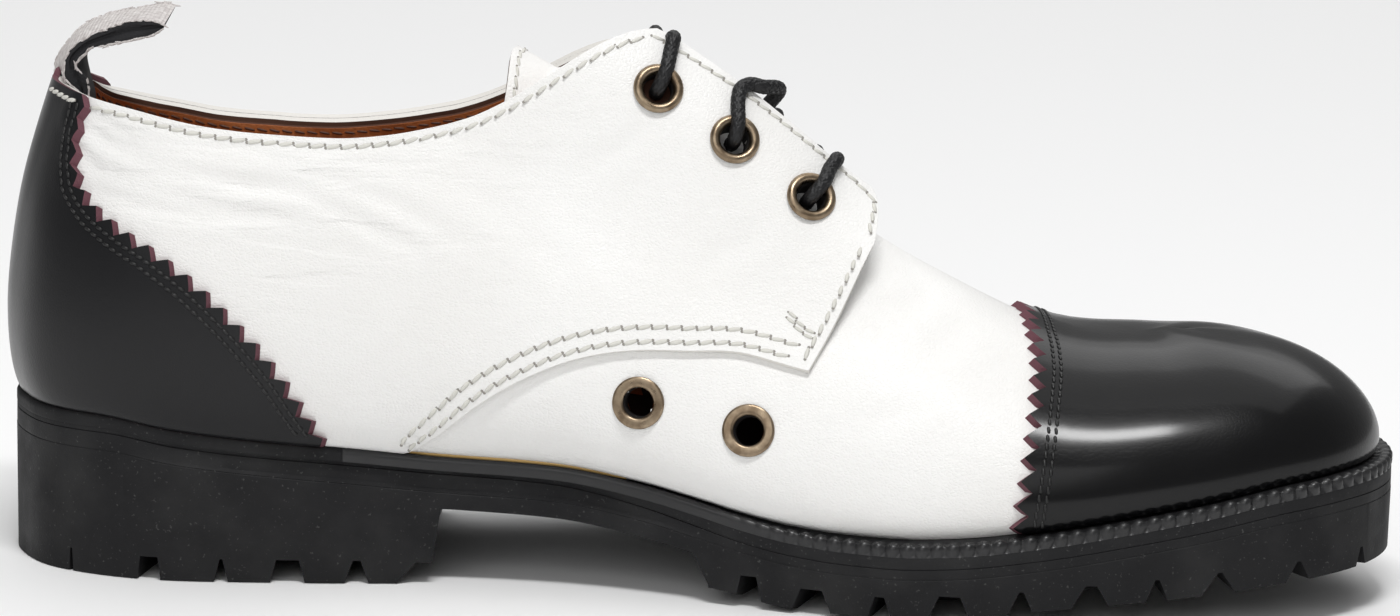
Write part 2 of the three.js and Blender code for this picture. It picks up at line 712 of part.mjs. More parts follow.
// The rows up every rib, as shares of its height. All layers of leather share them, and the
// columns below, so that their facets lie level with each other.
const ROWS = [0, 0.075, 0.19, 0.35, 0.55, 0.77, 1];
const FACET_ROOM = 0.15;
const VAMP_PLACES = [0, 0.5, 1, 1.5, 2, 2.5, 3, 3.5, 4, 4.5, 5, 5.45, 5.8, 6];
const THROAT_PLACES = [6.06, 6.14, 6.3, 6.6, 7, 7.4];
const COLLAR_PLACES = [7.54, 7.62, 7.69, 7.8, 8.02, 8.3];
const HEEL_PLACES = [8.72, 8.96, 9.22, 9.6, 10.1, 10.6, 11.1, 11.56, 12.05, 12.5, 13];

function ribColumn(place, top) {
  return ROWS.map((share) => [place, top * share]);
}

const THROAT_FRONT = 6;
const THROAT_ROUND = 0.16;

function throatTop(place) {
  const open = Math.sqrt(ease((onInner(place) - THROAT_FRONT) / THROAT_ROUND));
  return RIDGE + (collarShare(place) - RIDGE) * open;
}

function upperColumns() {
  const half = [...VAMP_PLACES, ...THROAT_PLACES, ...COLLAR_PLACES, ...HEEL_PLACES];
  const around = [...half, ...half.slice(1, -1).reverse().map((place) => RING - place), RING];
  return around.map((place) => {
    const inVamp = onInner(place) <= THROAT_FRONT;
    return ribColumn(place, inVamp ? RIDGE : throatTop(place));
  });
}

// Holes and eyelets share their places.
function frameAt(point, place, up) {
  const origin = point(place, up, 0);
  const ahead = point(place + RIB_STEP, up, 0);
  const above = point(place, up + UP_STEP, 0);
  const normal = above.sub(origin).cross(ahead.sub(origin)).normalize();
  const sameWay = normal.dot(lastNormal(place, up)) < 0 ? -1 : 1;
  return { origin, normal: normal.multiplyScalar(sameWay) };
}

function turned(geometry, origin, normal) {
  const turn = new THREE.Quaternion().setFromUnitVectors(new THREE.Vector3(0, 1, 0), normal);
  return geometry.applyQuaternion(turn).translate(origin.x, origin.y, origin.z);
}

const EYELET_SIDES = 10;
const HOLE_RADIUS = EYELET_BARREL + GAP;
const HOLE_LENGTH = 14;

function hole({ origin, normal }) {
  const cylinder = new THREE.CylinderGeometry(HOLE_RADIUS, HOLE_RADIUS, HOLE_LENGTH, EYELET_SIDES);
  return toSolid(turned(cylinder, origin, normal));
}

const OUTER_EYELETS_FORWARD = 0.14;
const OUTER_CORNER_FORWARD = 0.3;
const OUTER_CORNER_FROM = 7.5;
const placeOn = (side, at) => (side === 'medial' ? at : RING - at);

function facingFrames(side) {
  const forward = side === 'medial' ? 0 : OUTER_EYELETS_FORWARD;
  return FACING_EYELETS.map(({ name, at, up }) => (
    { name, ...frameAt(quarterPoint, placeOn(side, at - forward), up) }
  ));
}

const ventFrames = VENT_EYELETS.map(({ name, at, up }) => ({ name, ...frameAt(upperPoint, at, up) }));

function upperSolid() {
  const shell = toSolid(skin(upperColumns(), upperPoint, -UPPER_WALL, 0));
  const frames = [...facingFrames('medial'), ...facingFrames('lateral'), ...ventFrames];
  return shell.subtract(wasm.Manifold.union(frames.map(hole)));
}

const FACING_FRONT_PLACES = [5.72, 5.77, 5.86, 6.05, 6.3];
const FACING_PLACES = [6.6, 7, 7.4];
const BACK_SEAM = 0.014;
const QUARTER_INNER = GAP + FACET_ROOM;
const QUARTER_OUTER = QUARTER_INNER + QUARTER_LEATHER;

const FACING_ROUND = 0.14;

function facingTop(place) {
  const at = onInner(place);
  const round = Math.sqrt(ease((at - FACING_FRONT_PLACES[0]) / FACING_ROUND));
  return QUARTER_FRONT_UP + (collarShare(place) - QUARTER_FRONT_UP) * round;
}

const QUARTER_FRONT_UP = 0.8;

function quarterColumns(side) {
  const front = FACING_FRONT_PLACES[0];
  const heel = [...HEEL_PLACES.slice(0, -1), SIDE_ROWS - BACK_SEAM];
  const tops = [...FACING_FRONT_PLACES, ...FACING_PLACES, ...COLLAR_PLACES, ...heel];
  return tops.map((at) => {
    const low = at + (QUARTER_EDGE[0].at - front) * (1 - ease((at - front) / 2));
    const bottom = reading(QUARTER_EDGE, 'at', 'up', low);
    const top = facingTop(placeOn(side, at));
    const forward = side === 'medial' ? 0 : OUTER_CORNER_FORWARD * ease(OUTER_CORNER_FROM - at);
    return ROWS.map((share) => {
      const up = Math.max(bottom, top * share);
      const f = (up - bottom) / (top - bottom);
      return [placeOn(side, low - forward + (at - low + forward) * f), up];
    });
  });
}

function quarterSolid(side) {
  const leather = toSolid(skin(quarterColumns(side), quarterPoint, QUARTER_INNER, QUARTER_OUTER));
  return leather.subtract(wasm.Manifold.union(facingFrames(side).map(hole)));
}

function counterColumns() {
  const around = [...HEEL_PLACES, ...HEEL_PLACES.slice(0, -1).reverse().map((place) => RING - place)];
  const last = COUNTER_EDGE[COUNTER_EDGE.length - 1].at;
  return around.map((place) => {
    const at = onInner(place);
    const collar = collarShare(place);
    const top = at >= last ? collar : Math.min(collar, reading(COUNTER_EDGE, 'at', 'up', at));
    return ROWS.map((share) => [place, Math.min(top, Math.max(COUNTER_FOOT, collar * share))]);
  });
}

const COUNTER_FOOT = 0.012;
const COUNTER_INNER = QUARTER_OUTER + GAP + FACET_ROOM;
const COUNTER_OUTER = COUNTER_INNER + COUNTER_LEATHER;

function capColumns() {
  const half = VAMP_PLACES.filter((place) => place < CAP_SEAM[1].at - FACET_ROOM);
  const seam = ROWS.map((up) => reading(CAP_SEAM, 'up', 'at', up));
  const across = [...half.map((place) => ROWS.map(() => place)), seam];
  const outer = across.slice(1).reverse().map((column) => column.map((place) => RING - place));
  return [...outer, ...across].map((column) => column.map((place, i) => [place, ROWS[i]]));
}

// The tongue follows the form under the facings, and its free end lies a little lower.
const TONGUE_CLEARANCE = 0.8;
const TONGUE_LAG = 0.14;

function tonguePoint(place, up, offset) {
  const at = onInner(place);
  const point = lastPoint(place, up);
  const lift = facingLift(place, up) * vampFade(at - TONGUE_LAG) * TONGUE_CLEARANCE;
  point.addScaledVector(lastNormal(place, up), offset + lift);
  point.z -= reading(TONGUE, 'at', 'dip', at) * INSTEP_RISE;
  return point;
}

const TONGUE_COLUMNS = 10;
const TONGUE_ROWS = 4;

function tongueColumns() {
  const places = spread(TONGUE[0].at, TONGUE[TONGUE.length - 1].at, TONGUE_COLUMNS);
  return places.map((at) => {
    const low = reading(TONGUE, 'at', 'up', at);
    const crest = reading(TONGUE, 'at', 'crest', at);
    const inner = spread(0, 1, TONGUE_ROWS).map((f) => [at + crest * ease(f), low + (RIDGE - low) * f]);
    const outer = inner.slice(0, -1).reverse().map(([place, up]) => [RING - place, up]);
    return [...inner, ...outer];
  });
}

function tongueGeometry() {
  const top = -UPPER_WALL - GAP - 2 * FACET_ROOM;
  return skin(tongueColumns(), tonguePoint, top - TONGUE_LEATHER, top);
}

function insoleSolid() {
  const grow = () => -UPPER_WALL - GAP;
  return slab(grow, (x) => bed(x) + INSOLE_THICKNESS, bed);
}

// Metal eyelets: a rolled flange on the leather and a barrel through it.
function eyeletGeometry({ origin, normal }, depth) {
  const crown = GAP + EYELET_CROWN;
  const profile = [
    [EYELET_BORE, -depth],
    [EYELET_BARREL, -depth],
    [EYELET_BARREL, GAP],
    [EYELET_RADIUS, GAP],
    [(EYELET_RADIUS + EYELET_BORE) / 2, crown],
    [EYELET_BORE, EYELET_CROWN],
    [EYELET_BORE, -depth],
  ].map(([r, h]) => new THREE.Vector2(r, h));
  return welded(turned(new THREE.LatheGeometry(profile, EYELET_SIDES), origin, normal));
}

// A straight bar of lace from one facing's eyelet to the other's.
const LACE_SIDES = 8;
const LACE_STEPS = 10;
const LACE_CLEARANCE = 1.7;
const LACE_START = 0.4;
const LACE_LEAN = 0.3;

function laceGeometry(inner, outer) {
  const across = outer.origin.clone().sub(inner.origin);
  const middle = inner.origin.clone().add(outer.origin).multiplyScalar(0.5);
  const crown = QUARTER_OUTER + EYELET_CROWN;
  const over = crown + LACE_RADIUS + LACE_CLEARANCE;
  const leaving = ({ origin, normal }, sign) => {
    const inward = across.clone().multiplyScalar(sign).normalize();
    inward.addScaledVector(normal, -inward.dot(normal)).normalize();
    return [
      origin.clone().addScaledVector(normal, crown * LACE_START),
      origin.clone().addScaledVector(normal, over).addScaledVector(inward, EYELET_BORE * LACE_LEAN),
      origin.clone().addScaledVector(normal, over).addScaledVector(inward, EYELET_RADIUS),
    ];
  };
  const top = middle.clone();
  top.z += INNER_FACING_LIFT + LACE_RADIUS + QUARTER_OUTER;
  const path = new THREE.CatmullRomCurve3([...leaving(inner, 1), top, ...leaving(outer, -1).reverse()]);
  const circle = new THREE.Shape(spread(0, 1, LACE_SIDES).slice(0, -1).map((f) => new THREE.Vector2(
    LACE_RADIUS * Math.cos(2 * Math.PI * f), LACE_RADIUS * Math.sin(2 * Math.PI * f))));
  const options = { steps: LACE_STEPS, extrudePath: path, bevelEnabled: false };
  return welded(new THREE.ExtrudeGeometry(circle, options));
}

// The ribbon loop at the back of the collar.
const LOOP_STEPS = 20;

function loopGeometry() {
  const start = quarterPoint(SIDE_ROWS, collarShare(SIDE_ROWS), COUNTER_OUTER);
  const points = LOOP_PATH.map(({ along, above }) => new THREE.Vector2(start.x + along, start.z + above));
  const path = new THREE.SplineCurve(points);
  const side = (sign) => spread(0, 1, LOOP_STEPS).map((f) => {
    const tangent = path.getTangent(f);
    const normal = new THREE.Vector2(-tangent.y, tangent.x);
    return path.getPoint(f).addScaledVector(normal, (sign * LOOP_THICKNESS) / 2);
  });
  const shape = new THREE.Shape([...side(1), ...side(-1).reverse()]);
  const geometry = new THREE.ExtrudeGeometry(shape, { depth: LOOP_WIDTH, bevelEnabled: false });
  return welded(geometry.rotateX(Math.PI / 2).translate(0, LOOP_WIDTH / 2, 0));
}

// Finishes.
function finish(color, roughness, metalness = 0) {
  return new THREE.MeshStandardMaterial({ color, roughness, metalness });
}


const WHITE_LEATHER = finish(0xefedea, 0.45);
const BLACK_LEATHER = finish(0x0c0c0d, 0.2);
const BLACK_RUBBER = finish(0x1b1b1c, 0.75);
const TAN_LINING = finish(0xb3602c, 0.6);
const BRASS = finish(0x7d6f55, 0.35, 1);
const BLACK_CORD = finish(0x0e0e0e, 0.85);
const RIBBON = finish(0xd9d6d0, 0.8);

const shoe = new THREE.Group();

function add(name, geometry, material) {
  const mesh = new THREE.Mesh(geometry, material);
  mesh.name = name;
  shoe.add(mesh);
}

add('outsole', toGeometry(outsoleSolid()), BLACK_RUBBER);
const midsoleEdge = (r) => r.margin - MIDSOLE_STEP_IN;
add('midsole', toGeometry(slab(midsoleEdge, midsoleTop, midsoleBottom)), BLACK_RUBBER);
add('welt', toGeometry(weltRing(RAND_END_X + GAP, FRONT_X).subtract(weltNotches())), BLACK_RUBBER);
add('heel_rand', toGeometry(weltRing(BACK_X, RAND_END_X)), BLACK_RUBBER);
add('insole', toGeometry(insoleSolid()), TAN_LINING);
add('upper', toGeometry(upperSolid()), WHITE_LEATHER);
add('tongue', tongueGeometry(), WHITE_LEATHER);
add('quarter_medial', toGeometry(quarterSolid('medial')), WHITE_LEATHER);
add('quarter_lateral', toGeometry(quarterSolid('lateral')), WHITE_LEATHER);
const cap = skin(capColumns(), upperPoint, QUARTER_INNER, QUARTER_INNER + CAP_LEATHER);
add('toe_cap', cap, BLACK_LEATHER);
const counter = skin(counterColumns(), quarterPoint, COUNTER_INNER, COUNTER_OUTER);
add('heel_counter', counter, BLACK_LEATHER);

for (const side of ['medial', 'lateral']) {
  for (const frame of facingFrames(side)) {
    const raised = { ...frame, origin: frame.origin.clone().addScaledVector(frame.normal, QUARTER_OUTER) };
    add(`eyelet_${side}_${frame.name}`, eyeletGeometry(raised, QUARTER_OUTER + UPPER_WALL + GAP), BRASS);
  }
}
for (const frame of ventFrames) {
  add(`eyelet_vent_${frame.name}`, eyeletGeometry(frame, UPPER_WALL + GAP), BRASS);
}
facingFrames('medial').forEach((frame, i) => {
  add(`lace_bar_${frame.name}`, laceGeometry(frame, facingFrames('lateral')[i]), BLACK_CORD);
});
add('pull_loop', loopGeometry(), RIBBON);

export default shoe;
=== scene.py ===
"""A left spectator derby shoe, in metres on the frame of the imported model."""

import math

import bmesh
import bpy
import numpy as np
from mathutils import Matrix, Vector


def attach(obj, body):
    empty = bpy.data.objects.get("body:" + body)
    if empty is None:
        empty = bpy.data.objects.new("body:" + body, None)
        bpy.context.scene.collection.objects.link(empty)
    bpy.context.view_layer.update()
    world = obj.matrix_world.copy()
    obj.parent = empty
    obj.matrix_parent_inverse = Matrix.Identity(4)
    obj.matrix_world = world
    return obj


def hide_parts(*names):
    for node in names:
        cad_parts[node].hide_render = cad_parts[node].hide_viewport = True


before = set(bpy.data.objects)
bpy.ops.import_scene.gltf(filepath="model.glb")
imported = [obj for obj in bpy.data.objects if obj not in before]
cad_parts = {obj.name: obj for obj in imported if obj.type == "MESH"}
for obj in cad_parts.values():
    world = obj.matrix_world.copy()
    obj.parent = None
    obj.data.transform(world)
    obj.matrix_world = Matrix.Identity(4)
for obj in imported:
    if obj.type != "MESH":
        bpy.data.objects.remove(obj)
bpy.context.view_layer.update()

# Driving sizes in millimetres, as in the part.
LAST_LENGTH = 270.5
BALL_WIDTH = 91.9
INSTEP_RISE = 71.6
HEEL_BEHIND = 33.2
HEEL_THICKNESS = 33.2
FORE_THICKNESS = 16.4
TOE_RISE = 13.4
TOE_SPRING = 10.3
SOLE_MARGIN = 5.0
LUG_HEIGHT = 5.4
WAIST_THICKNESS = 10.2
BREAST_X = 51.0
TREAD_X = 104.0
RAND_END_X = 33.2
UPPER_WALL = 1.7
LAYER = 0.06
QUARTER_OUT = 1.6
CAP_OUT = 1.55
COUNTER_OUT = 2.95
# Places run round the last: 0 at the toe tip, 13 at the back of the heel, 26 at the tip again.
RING = 26.0
BACK = 13.0


def table(names, *rows):
    return {name: np.array([row[i] for row in rows], float) for i, name in enumerate(names.split())}


def unit(vectors):
    return vectors / np.linalg.norm(vectors, axis=-1, keepdims=True)


def distances(points):
    """How far each point of a line lies along it."""
    return np.concatenate([[0], np.cumsum(np.linalg.norm(np.diff(points, axis=0), axis=1))])


def curve_between(a, b, c, d, f):
    """A smooth curve through four points, between the middle two."""
    return 0.5 * (2 * b + (c - a) * f + (2 * a - 5 * b + 4 * c - d) * f * f
                  + (3 * b - 3 * c + d - a) * f * f * f)


def by_side(place, medial, lateral):
    return np.where(np.asarray(place) % RING > BACK, lateral, medial)


def on_side(side, at):
    return at if side == "medial" else RING - at


def quads(rows, count, rows_meet=False, ends_meet=True, turned_over=False):
    """Faces between rows of points of equal count."""
    faces = []
    for j in range(rows if rows_meet else rows - 1):
        for i in range(count if ends_meet else count - 1):
            a, b = j * count + i, j * count + (i + 1) % count
            c = (j + 1) % rows * count
            near, far = (b, c + i) if not turned_over else (c + i, b)
            faces.append((a, near, c + (i + 1) % count, far))
    return faces


# The ribs of the last, from the toe tip to the back of the heel.
RIBS = table(
    "inx iny outx outy rx ry rise inswell outswell full margin",
    (1, -0.054, 1, -0.054, 0.862, -0.054, 0.386, 0.013, 0.013, 0.82, 1),
    (0.985, -0.218, 0.982, 0.114, 0.858, -0.054, 0.387, 0.013, 0.013, 0.82, 1),
    (0.942, -0.337, 0.929, 0.288, 0.847, -0.054, 0.396, 0.015, 0.015, 0.84, 1),
    (0.868, -0.413, 0.836, 0.424, 0.825, -0.06, 0.401, 0.02, 0.02, 0.86, 0.96),
    (0.777, -0.457, 0.733, 0.501, 0.773, -0.065, 0.45, 0.026, 0.026, 0.92, 0.92),
    (0.681, -0.465, 0.622, 0.535, 0.699, -0.065, 0.609, 0.033, 0.033, 1, 0.9),
    (0.566, -0.386, 0.511, 0.501, 0.614, -0.054, 0.796, 0.071, 0.049, 1.08, 0.68),
    (0.444, -0.299, 0.4, 0.424, 0.522, -0.044, 1.04, 0.098, 0.054, 1, 0.44),
    (0.326, -0.277, 0.289, 0.365, 0.411, -0.022, 1.2, 0.087, 0.049, 0.85, 0.4),
    (0.208, -0.31, 0.186, 0.337, 0.308, -0.011, 1.28, 0.054, 0.044, 0.75, 0.48),
    (0.106, -0.321, 0.099, 0.326, 0.219, 0, 1.318, 0.044, 0.044, 0.8, 0.56),
    (0.038, -0.245, 0.034, 0.245, 0.16, 0, 1.363, 0.039, 0.039, 0.92, 0.68),
    (0.008, -0.12, 0.008, 0.12, 0.13, 0, 1.37, 0.037, 0.037, 1, 0.76),
    (0, 0, 0, 0, 0.115, 0, 1.365, 0.037, 0.037, 1, 0.76),
)
PROFILE = table(
    "at lift rise spring lug",
    (-0.014, 1, 0, 0, 1), (0.064, 1, 0, 0, 1), (0.123, 0.875, 0, 0, 1), (0.176, 0.78, 0, 0, 1),
    (0.248, 0.685, 0, 0, 1), (0.315, 0.59, 0, 0, 1), (0.404, 0.53, 0, 0.35, 1),
    (0.467, 0.387, 0, 0.35, 1), (0.511, 0.245, 0, 0.3, 1), (0.544, 0.13, 0, 0.15, 1),
    (0.581, 0.036, 0, 0, 1), (0.618, 0, 0, 0, 1), (0.648, 0, 0, 0, 1), (0.7, 0, 0.06, 0.105, 1),
    (0.77, 0, 0.235, 0.3, 0.88), (0.825, 0, 0.43, 0.46, 0.8), (0.881, 0, 0.64, 0.64, 0.74),
    (0.951, 0, 0.918, 0.875, 0.62), (1.003, 0, 1, 0.98, 0.56), (1.025, 0, 1, 1, 0.55),
)
QUARTER_EDGE = table(
    "at up", (5.84, 0.385), (6.2, 0.365), (6.58, 0.305), (7.06, 0.235), (7.42, 0.175),
    (7.8, 0.105), (8.14, 0.03), (8.32, 0), (13, 0),
)
COUNTER_EDGE = table(
    "up at", (0, 8.81), (0.006, 8.836), (0.041, 8.944), (0.092, 9.114), (0.14, 9.335), (0.182, 9.575),
    (0.215, 9.809), (0.241, 10.081), (0.259, 10.375), (0.285, 10.719), (0.32, 10.993), (0.363, 11.124),
    (0.409, 11.2), (0.46, 11.24),
)
CAP_SEAM = table(
    "up at", (0, 4.27), (0.1, 4.24), (0.27, 4.193), (0.46, 4.164), (0.6, 4.155), (0.74, 4.19),
    (0.85, 4.248), (0.97, 4.317), (1, 4.34),
)
TONGUE = table(
    "at up dip crest", (5.7, 0.86, 0, 0), (6, 0.72, 0, 0), (6.5, 0.62, 0.01, 0.03),
    (7.2, 0.6, 0.05, 0.14), (7.6, 0.58, 0.086, 0.3), (7.7, 0.575, 0.128, 0.33), (7.8, 0.575, 0.169, 0.36),
    (7.9, 0.575, 0.148, 0.38), (8, 0.58, 0.123, 0.4), (8.05, 0.585, 0.112, 0.4),
)
# The line of the collar: place, and share of the rib.
INNER_COLLAR = table(
    "at up", (7.45, 0.968), (7.552, 0.966), (7.586, 0.947), (7.624, 0.917), (7.656, 0.883), (7.694, 0.84),
    (7.75, 0.78), (7.81, 0.728), (7.915, 0.659), (8.02, 0.612), (8.18, 0.565), (8.4, 0.528), (8.65, 0.5),
    (8.92, 0.482), (9.2, 0.472), (9.65, 0.462), (10.15, 0.457), (10.6, 0.454), (11, 0.452), (13, 0.451),
)
OUTER_COLLAR = table(
    "at up", (7.42, 0.926), (7.5, 0.905), (7.56, 0.845), (7.62, 0.77), (7.694, 0.69), (7.75, 0.645),
    (7.81, 0.61), (7.915, 0.565), (8.018, 0.533), (8.224, 0.493), (8.545, 0.455), (8.958, 0.425),
    (9.503, 0.406), (10, 0.398), (10.5, 0.401), (10.98, 0.409), (11.23, 0.415), (11.56, 0.427),
    (12, 0.444), (12.5, 0.45), (13, 0.451),
)
FACING_EYELETS = {"top": (7.3, 0.8), "middle": (6.8, 0.79), "bottom": (6.26, 0.785)}
VENT_EYELETS = {"rear": (6.78, 0.175), "front": (6.12, 0.21)}
FACING_FRONT = 5.715
OUTER_EYELETS_FORWARD = 0.14

# The creases: places round the ring and up the rib, then width and depth.
CREASES = [
    ([(11.24, 0.42), (10.7, 0.39), (10.3, 0.38), (9.8, 0.38), (9.44, 0.38), (9.08, 0.38),
      (8.76, 0.36), (8.48, 0.33), (8.3, 0.315)], 1.7, 0.62),
    ([(11.1, 0.37), (10.74, 0.35), (10.28, 0.35), (9.88, 0.35), (9.6, 0.352)], 1.4, 0.6),
    ([(11.2, 0.438), (10.9, 0.425), (10.5, 0.41), (10.0, 0.41), (9.5, 0.415)], 1.3, 0.4),
    ([(11.0, 0.335), (10.6, 0.32), (10.2, 0.318), (9.7, 0.325), (9.2, 0.34), (8.8, 0.345)], 1.9, 0.4),
    ([(9.3, 0.41), (8.9, 0.4), (8.5, 0.385), (8.15, 0.355), (7.9, 0.335)], 1.8, 0.36),
    ([(8.1, 0.45), (7.8, 0.41), (7.5, 0.37), (7.3, 0.34)], 2.4, 0.26),
    ([(8.3, 0.52), (8.05, 0.5), (7.8, 0.5), (7.6, 0.52)], 2.0, 0.2),
    ([(10.6, 0.365), (10.2, 0.362), (9.9, 0.37), (9.5, 0.366)], 0.9, 0.2),
    ([(10.9, 0.4), (10.55, 0.395), (10.2, 0.4), (9.9, 0.396)], 0.9, 0.2),
    ([(10.4, 0.333), (10.1, 0.336), (9.8, 0.34), (9.5, 0.336)], 0.9, 0.18),
    ([(9.9, 0.43), (9.5, 0.435), (9.1, 0.43)], 1.0, 0.18),
    ([(7.45, 0.55), (7.3, 0.62), (7.2, 0.7)], 2.2, 0.2),
    ([(6.6, 0.5), (6.45, 0.58), (6.4, 0.66)], 2.4, 0.18),
    ([(5.5, 0.62), (5.3, 0.72), (5.2, 0.84)], 3.0, 0.3),
    ([(5.15, 0.5), (5.0, 0.6), (4.95, 0.74)], 3.0, 0.26),
    ([(5.45, 0.3), (5.2, 0.36), (5.0, 0.46)], 2.6, 0.2),
]


def ease(f):
    f = np.clip(f, 0, 1)
    return f * f * (3 - 2 * f)


def reading(rows, key, column, place):
    x, y = rows[key], rows[column]
    h = np.diff(x)
    d = np.diff(y) / h
    m = np.zeros(len(x))
    m[0], m[-1] = d[0], d[-1]
    before, after = d[:-1], d[1:]
    same = before * after > 0
    m[1:-1][same] = 2 * (before * after)[same] / (before + after)[same]
    at = np.clip(place, x[0], x[-1])
    i = np.clip(np.searchsorted(x, at, side="right") - 1, 0, len(x) - 2)
    f = (at - x[i]) / h[i]
    g = 1 - f
    return (y[i] * (1 + 2 * f) * g * g + h[i] * m[i] * f * g * g
            + y[i + 1] * f * f * (3 - 2 * f) + h[i] * m[i + 1] * f * f * (f - 1))


def profile_at(x, column):
    return reading(PROFILE, "at", column, (np.asarray(x, float) + HEEL_BEHIND) / LAST_LENGTH)


def bed(x):
    return (FORE_THICKNESS + (HEEL_THICKNESS - FORE_THICKNESS) * profile_at(x, "lift")
            + TOE_RISE * profile_at(x, "rise"))


def tread(x):
    return TOE_SPRING * profile_at(x, "spring")


def web(x):
    return tread(x) + LUG_HEIGHT * profile_at(x, "lug")


def ring_rows(side):
    ridge_x = RIBS["rx"] * LAST_LENGTH - HEEL_BEHIND
    return np.stack([
        RIBS[side + "x"] * LAST_LENGTH - HEEL_BEHIND, RIBS[side + "y"] * BALL_WIDTH,
        ridge_x, RIBS["ry"] * BALL_WIDTH, bed(ridge_x) + RIBS["rise"] * INSTEP_RISE,
        RIBS[side + "swell"] * BALL_WIDTH, RIBS["full"], RIBS["margin"] * SOLE_MARGIN,
    ], -1)


RING_ROWS = np.concatenate([ring_rows("in"), ring_rows("out")[-2:0:-1]])


def rib(place):
    s = np.asarray(place, float) % RING
    i = np.floor(s).astype(int)
    around = (RING_ROWS[(i + step) % len(RING_ROWS)] for step in (-1, 0, 1, 2))
    return curve_between(*around, (s - i)[..., None])


def outward(place):
    ahead, behind = rib(place + 0.01), rib(place - 0.01)
    return unit(np.stack([behind[..., 1] - ahead[..., 1], ahead[..., 0] - behind[..., 0]], -1))


# What the curve of the side's swell is divided by, so that it reaches about one.
SWELL_TOP = 0.2108


def last(place, up):
    place, up = np.broadcast_arrays(np.asarray(place, float), np.asarray(up, float))
    r = rib(place)
    out = outward(place)
    height = np.sin(up * math.pi / 2)
    inward = np.maximum(0, np.cos(up * math.pi / 2)) ** r[..., 6]
    swell = r[..., 5] * np.maximum(height, 0) ** 0.7 * (1 - height) ** 2 / SWELL_TOP
    base = bed(r[..., 0])
    return np.stack([
        r[..., 2] + (r[..., 0] - r[..., 2]) * inward + out[..., 0] * swell,
        r[..., 3] + (r[..., 1] - r[..., 3]) * inward + out[..., 1] * swell,
        base + (r[..., 4] - base) * height,
    ], -1)


def side_normal(place, up):
    along = last(place + 0.01, up) - last(place - 0.01, up)
    across = last(place, np.minimum(1, up + 0.004)) - last(place, np.maximum(0, up - 0.004))
    normal = np.cross(across, along)
    normal[..., 2] *= ease(up / 0.12)
    return normal / np.maximum(np.linalg.norm(normal, axis=-1, keepdims=True), 1e-9)


def last_normal(place, up):
    normal = side_normal(place, up)
    both = normal + side_normal(RING - place, up)
    both /= np.maximum(np.linalg.norm(both, axis=-1, keepdims=True), 1e-9)
    return np.where((up >= 1 - 1e-9)[..., None], both, normal)


def inner(place):
    s = np.asarray(place, float) % RING
    return np.minimum(s, RING - s)


FACING_LIFT = {"medial": 7.5, "lateral": 4.0}
LATERAL_CREASE_SHARE = 0.7


def facing_lift(place, up):
    rise = ease((up - 0.42) / 0.44)
    fade = ease(8.75 - inner(place))
    return by_side(place, **FACING_LIFT) * rise * fade


def vamp_fade(at):
    return ease((at - 5.95) / 0.45)


def crease_lines():
    lines = []
    for side, deep in (("medial", 1), ("lateral", LATERAL_CREASE_SHARE)):
        for points, width, depth in CREASES:
            s, t = np.array(points).T
            n = np.linspace(0, len(s) - 1, 6 * len(s))
            s, t = np.interp(n, np.arange(len(s)), s), np.interp(n, np.arange(len(t)), t)
            taper = np.sin(np.linspace(0.12, 0.94, len(n)) * math.pi) ** 0.7
            lines.append((last(on_side(side, s), t), width, depth * deep, taper))
    return lines


CREASE_LINES = crease_lines()


def crease(place, up):
    """Soft troughs with a low ridge on both sides, and the slow swells of worn leather."""
    p = last(place, up)
    result = np.zeros(p.shape[:-1])
    for line, width, depth, taper in CREASE_LINES:
        near = np.full(result.shape, 1e9)
        weight = np.zeros(result.shape)
        for q, w in zip(line, taper):
            d = np.linalg.norm(p - q, axis=-1)
            weight = np.where(d < near, w, weight)
            near = np.minimum(near, d)
        x = near / width
        result -= depth * weight * (np.exp(-x * x) - 0.5 * np.exp(-(x - 1.9) ** 2))
    slow = np.sin(p[..., 0] * 0.11 + p[..., 2] * 0.07) * np.sin(p[..., 2] * 0.16 - p[..., 0] * 0.03 + 1)
    return result + 0.12 * slow * ease(up / 0.2) * ease((1 - up) / 0.2)


def layer_point(place, up, offset, fade=None):
    place, up = np.broadcast_arrays(np.asarray(place, float), np.asarray(up, float))
    lift = facing_lift(place, up) * (1 if fade is None else fade(inner(place)))
    return last(place, up) + last_normal(place, up) * (offset + lift + crease(place, up))[..., None]


def quarter_point(place, up, offset):
    return layer_point(place, up, offset)


def upper_point(place, up, offset):
    return layer_point(place, up, offset, vamp_fade)


def cap_point(place, up, offset):
    place, up = np.broadcast_arrays(np.asarray(place, float), np.asarray(up, float))
    return last(place, up) + last_normal(place, up) * offset


THROAT_HALF_GAP = {"medial": 1.3, "lateral": 5.0}
# How far the upper's edge is tucked below the quarter's.
THROAT_TUCK = {"medial": 0.009, "lateral": 0.001}
# The share of the rib where the front edge of the facing begins to round off.
FACING_CORNER = 0.76
THROAT_END = 6


def throat_share(place):
    r = rib(place)
    share = np.clip(by_side(place, **THROAT_HALF_GAP) / np.maximum(np.abs(r[..., 1] - r[..., 3]), 1e-6), 0, 1)
    return 2 / math.pi * np.arccos(share ** (1 / r[..., 6]))


def collar(place):
    at = inner(place)
    low = by_side(place, reading(INNER_COLLAR, "at", "up", at), reading(OUTER_COLLAR, "at", "up", at))
    beside_throat = np.where(at < 7.46, throat_share(place), np.minimum(low, throat_share(place)))
    return np.where(at < 8, beside_throat, low)


def facing_top(place):
    edge = np.sqrt(ease((inner(place) - FACING_FRONT) / 0.34))
    return FACING_CORNER + (collar(place) - FACING_CORNER) * edge


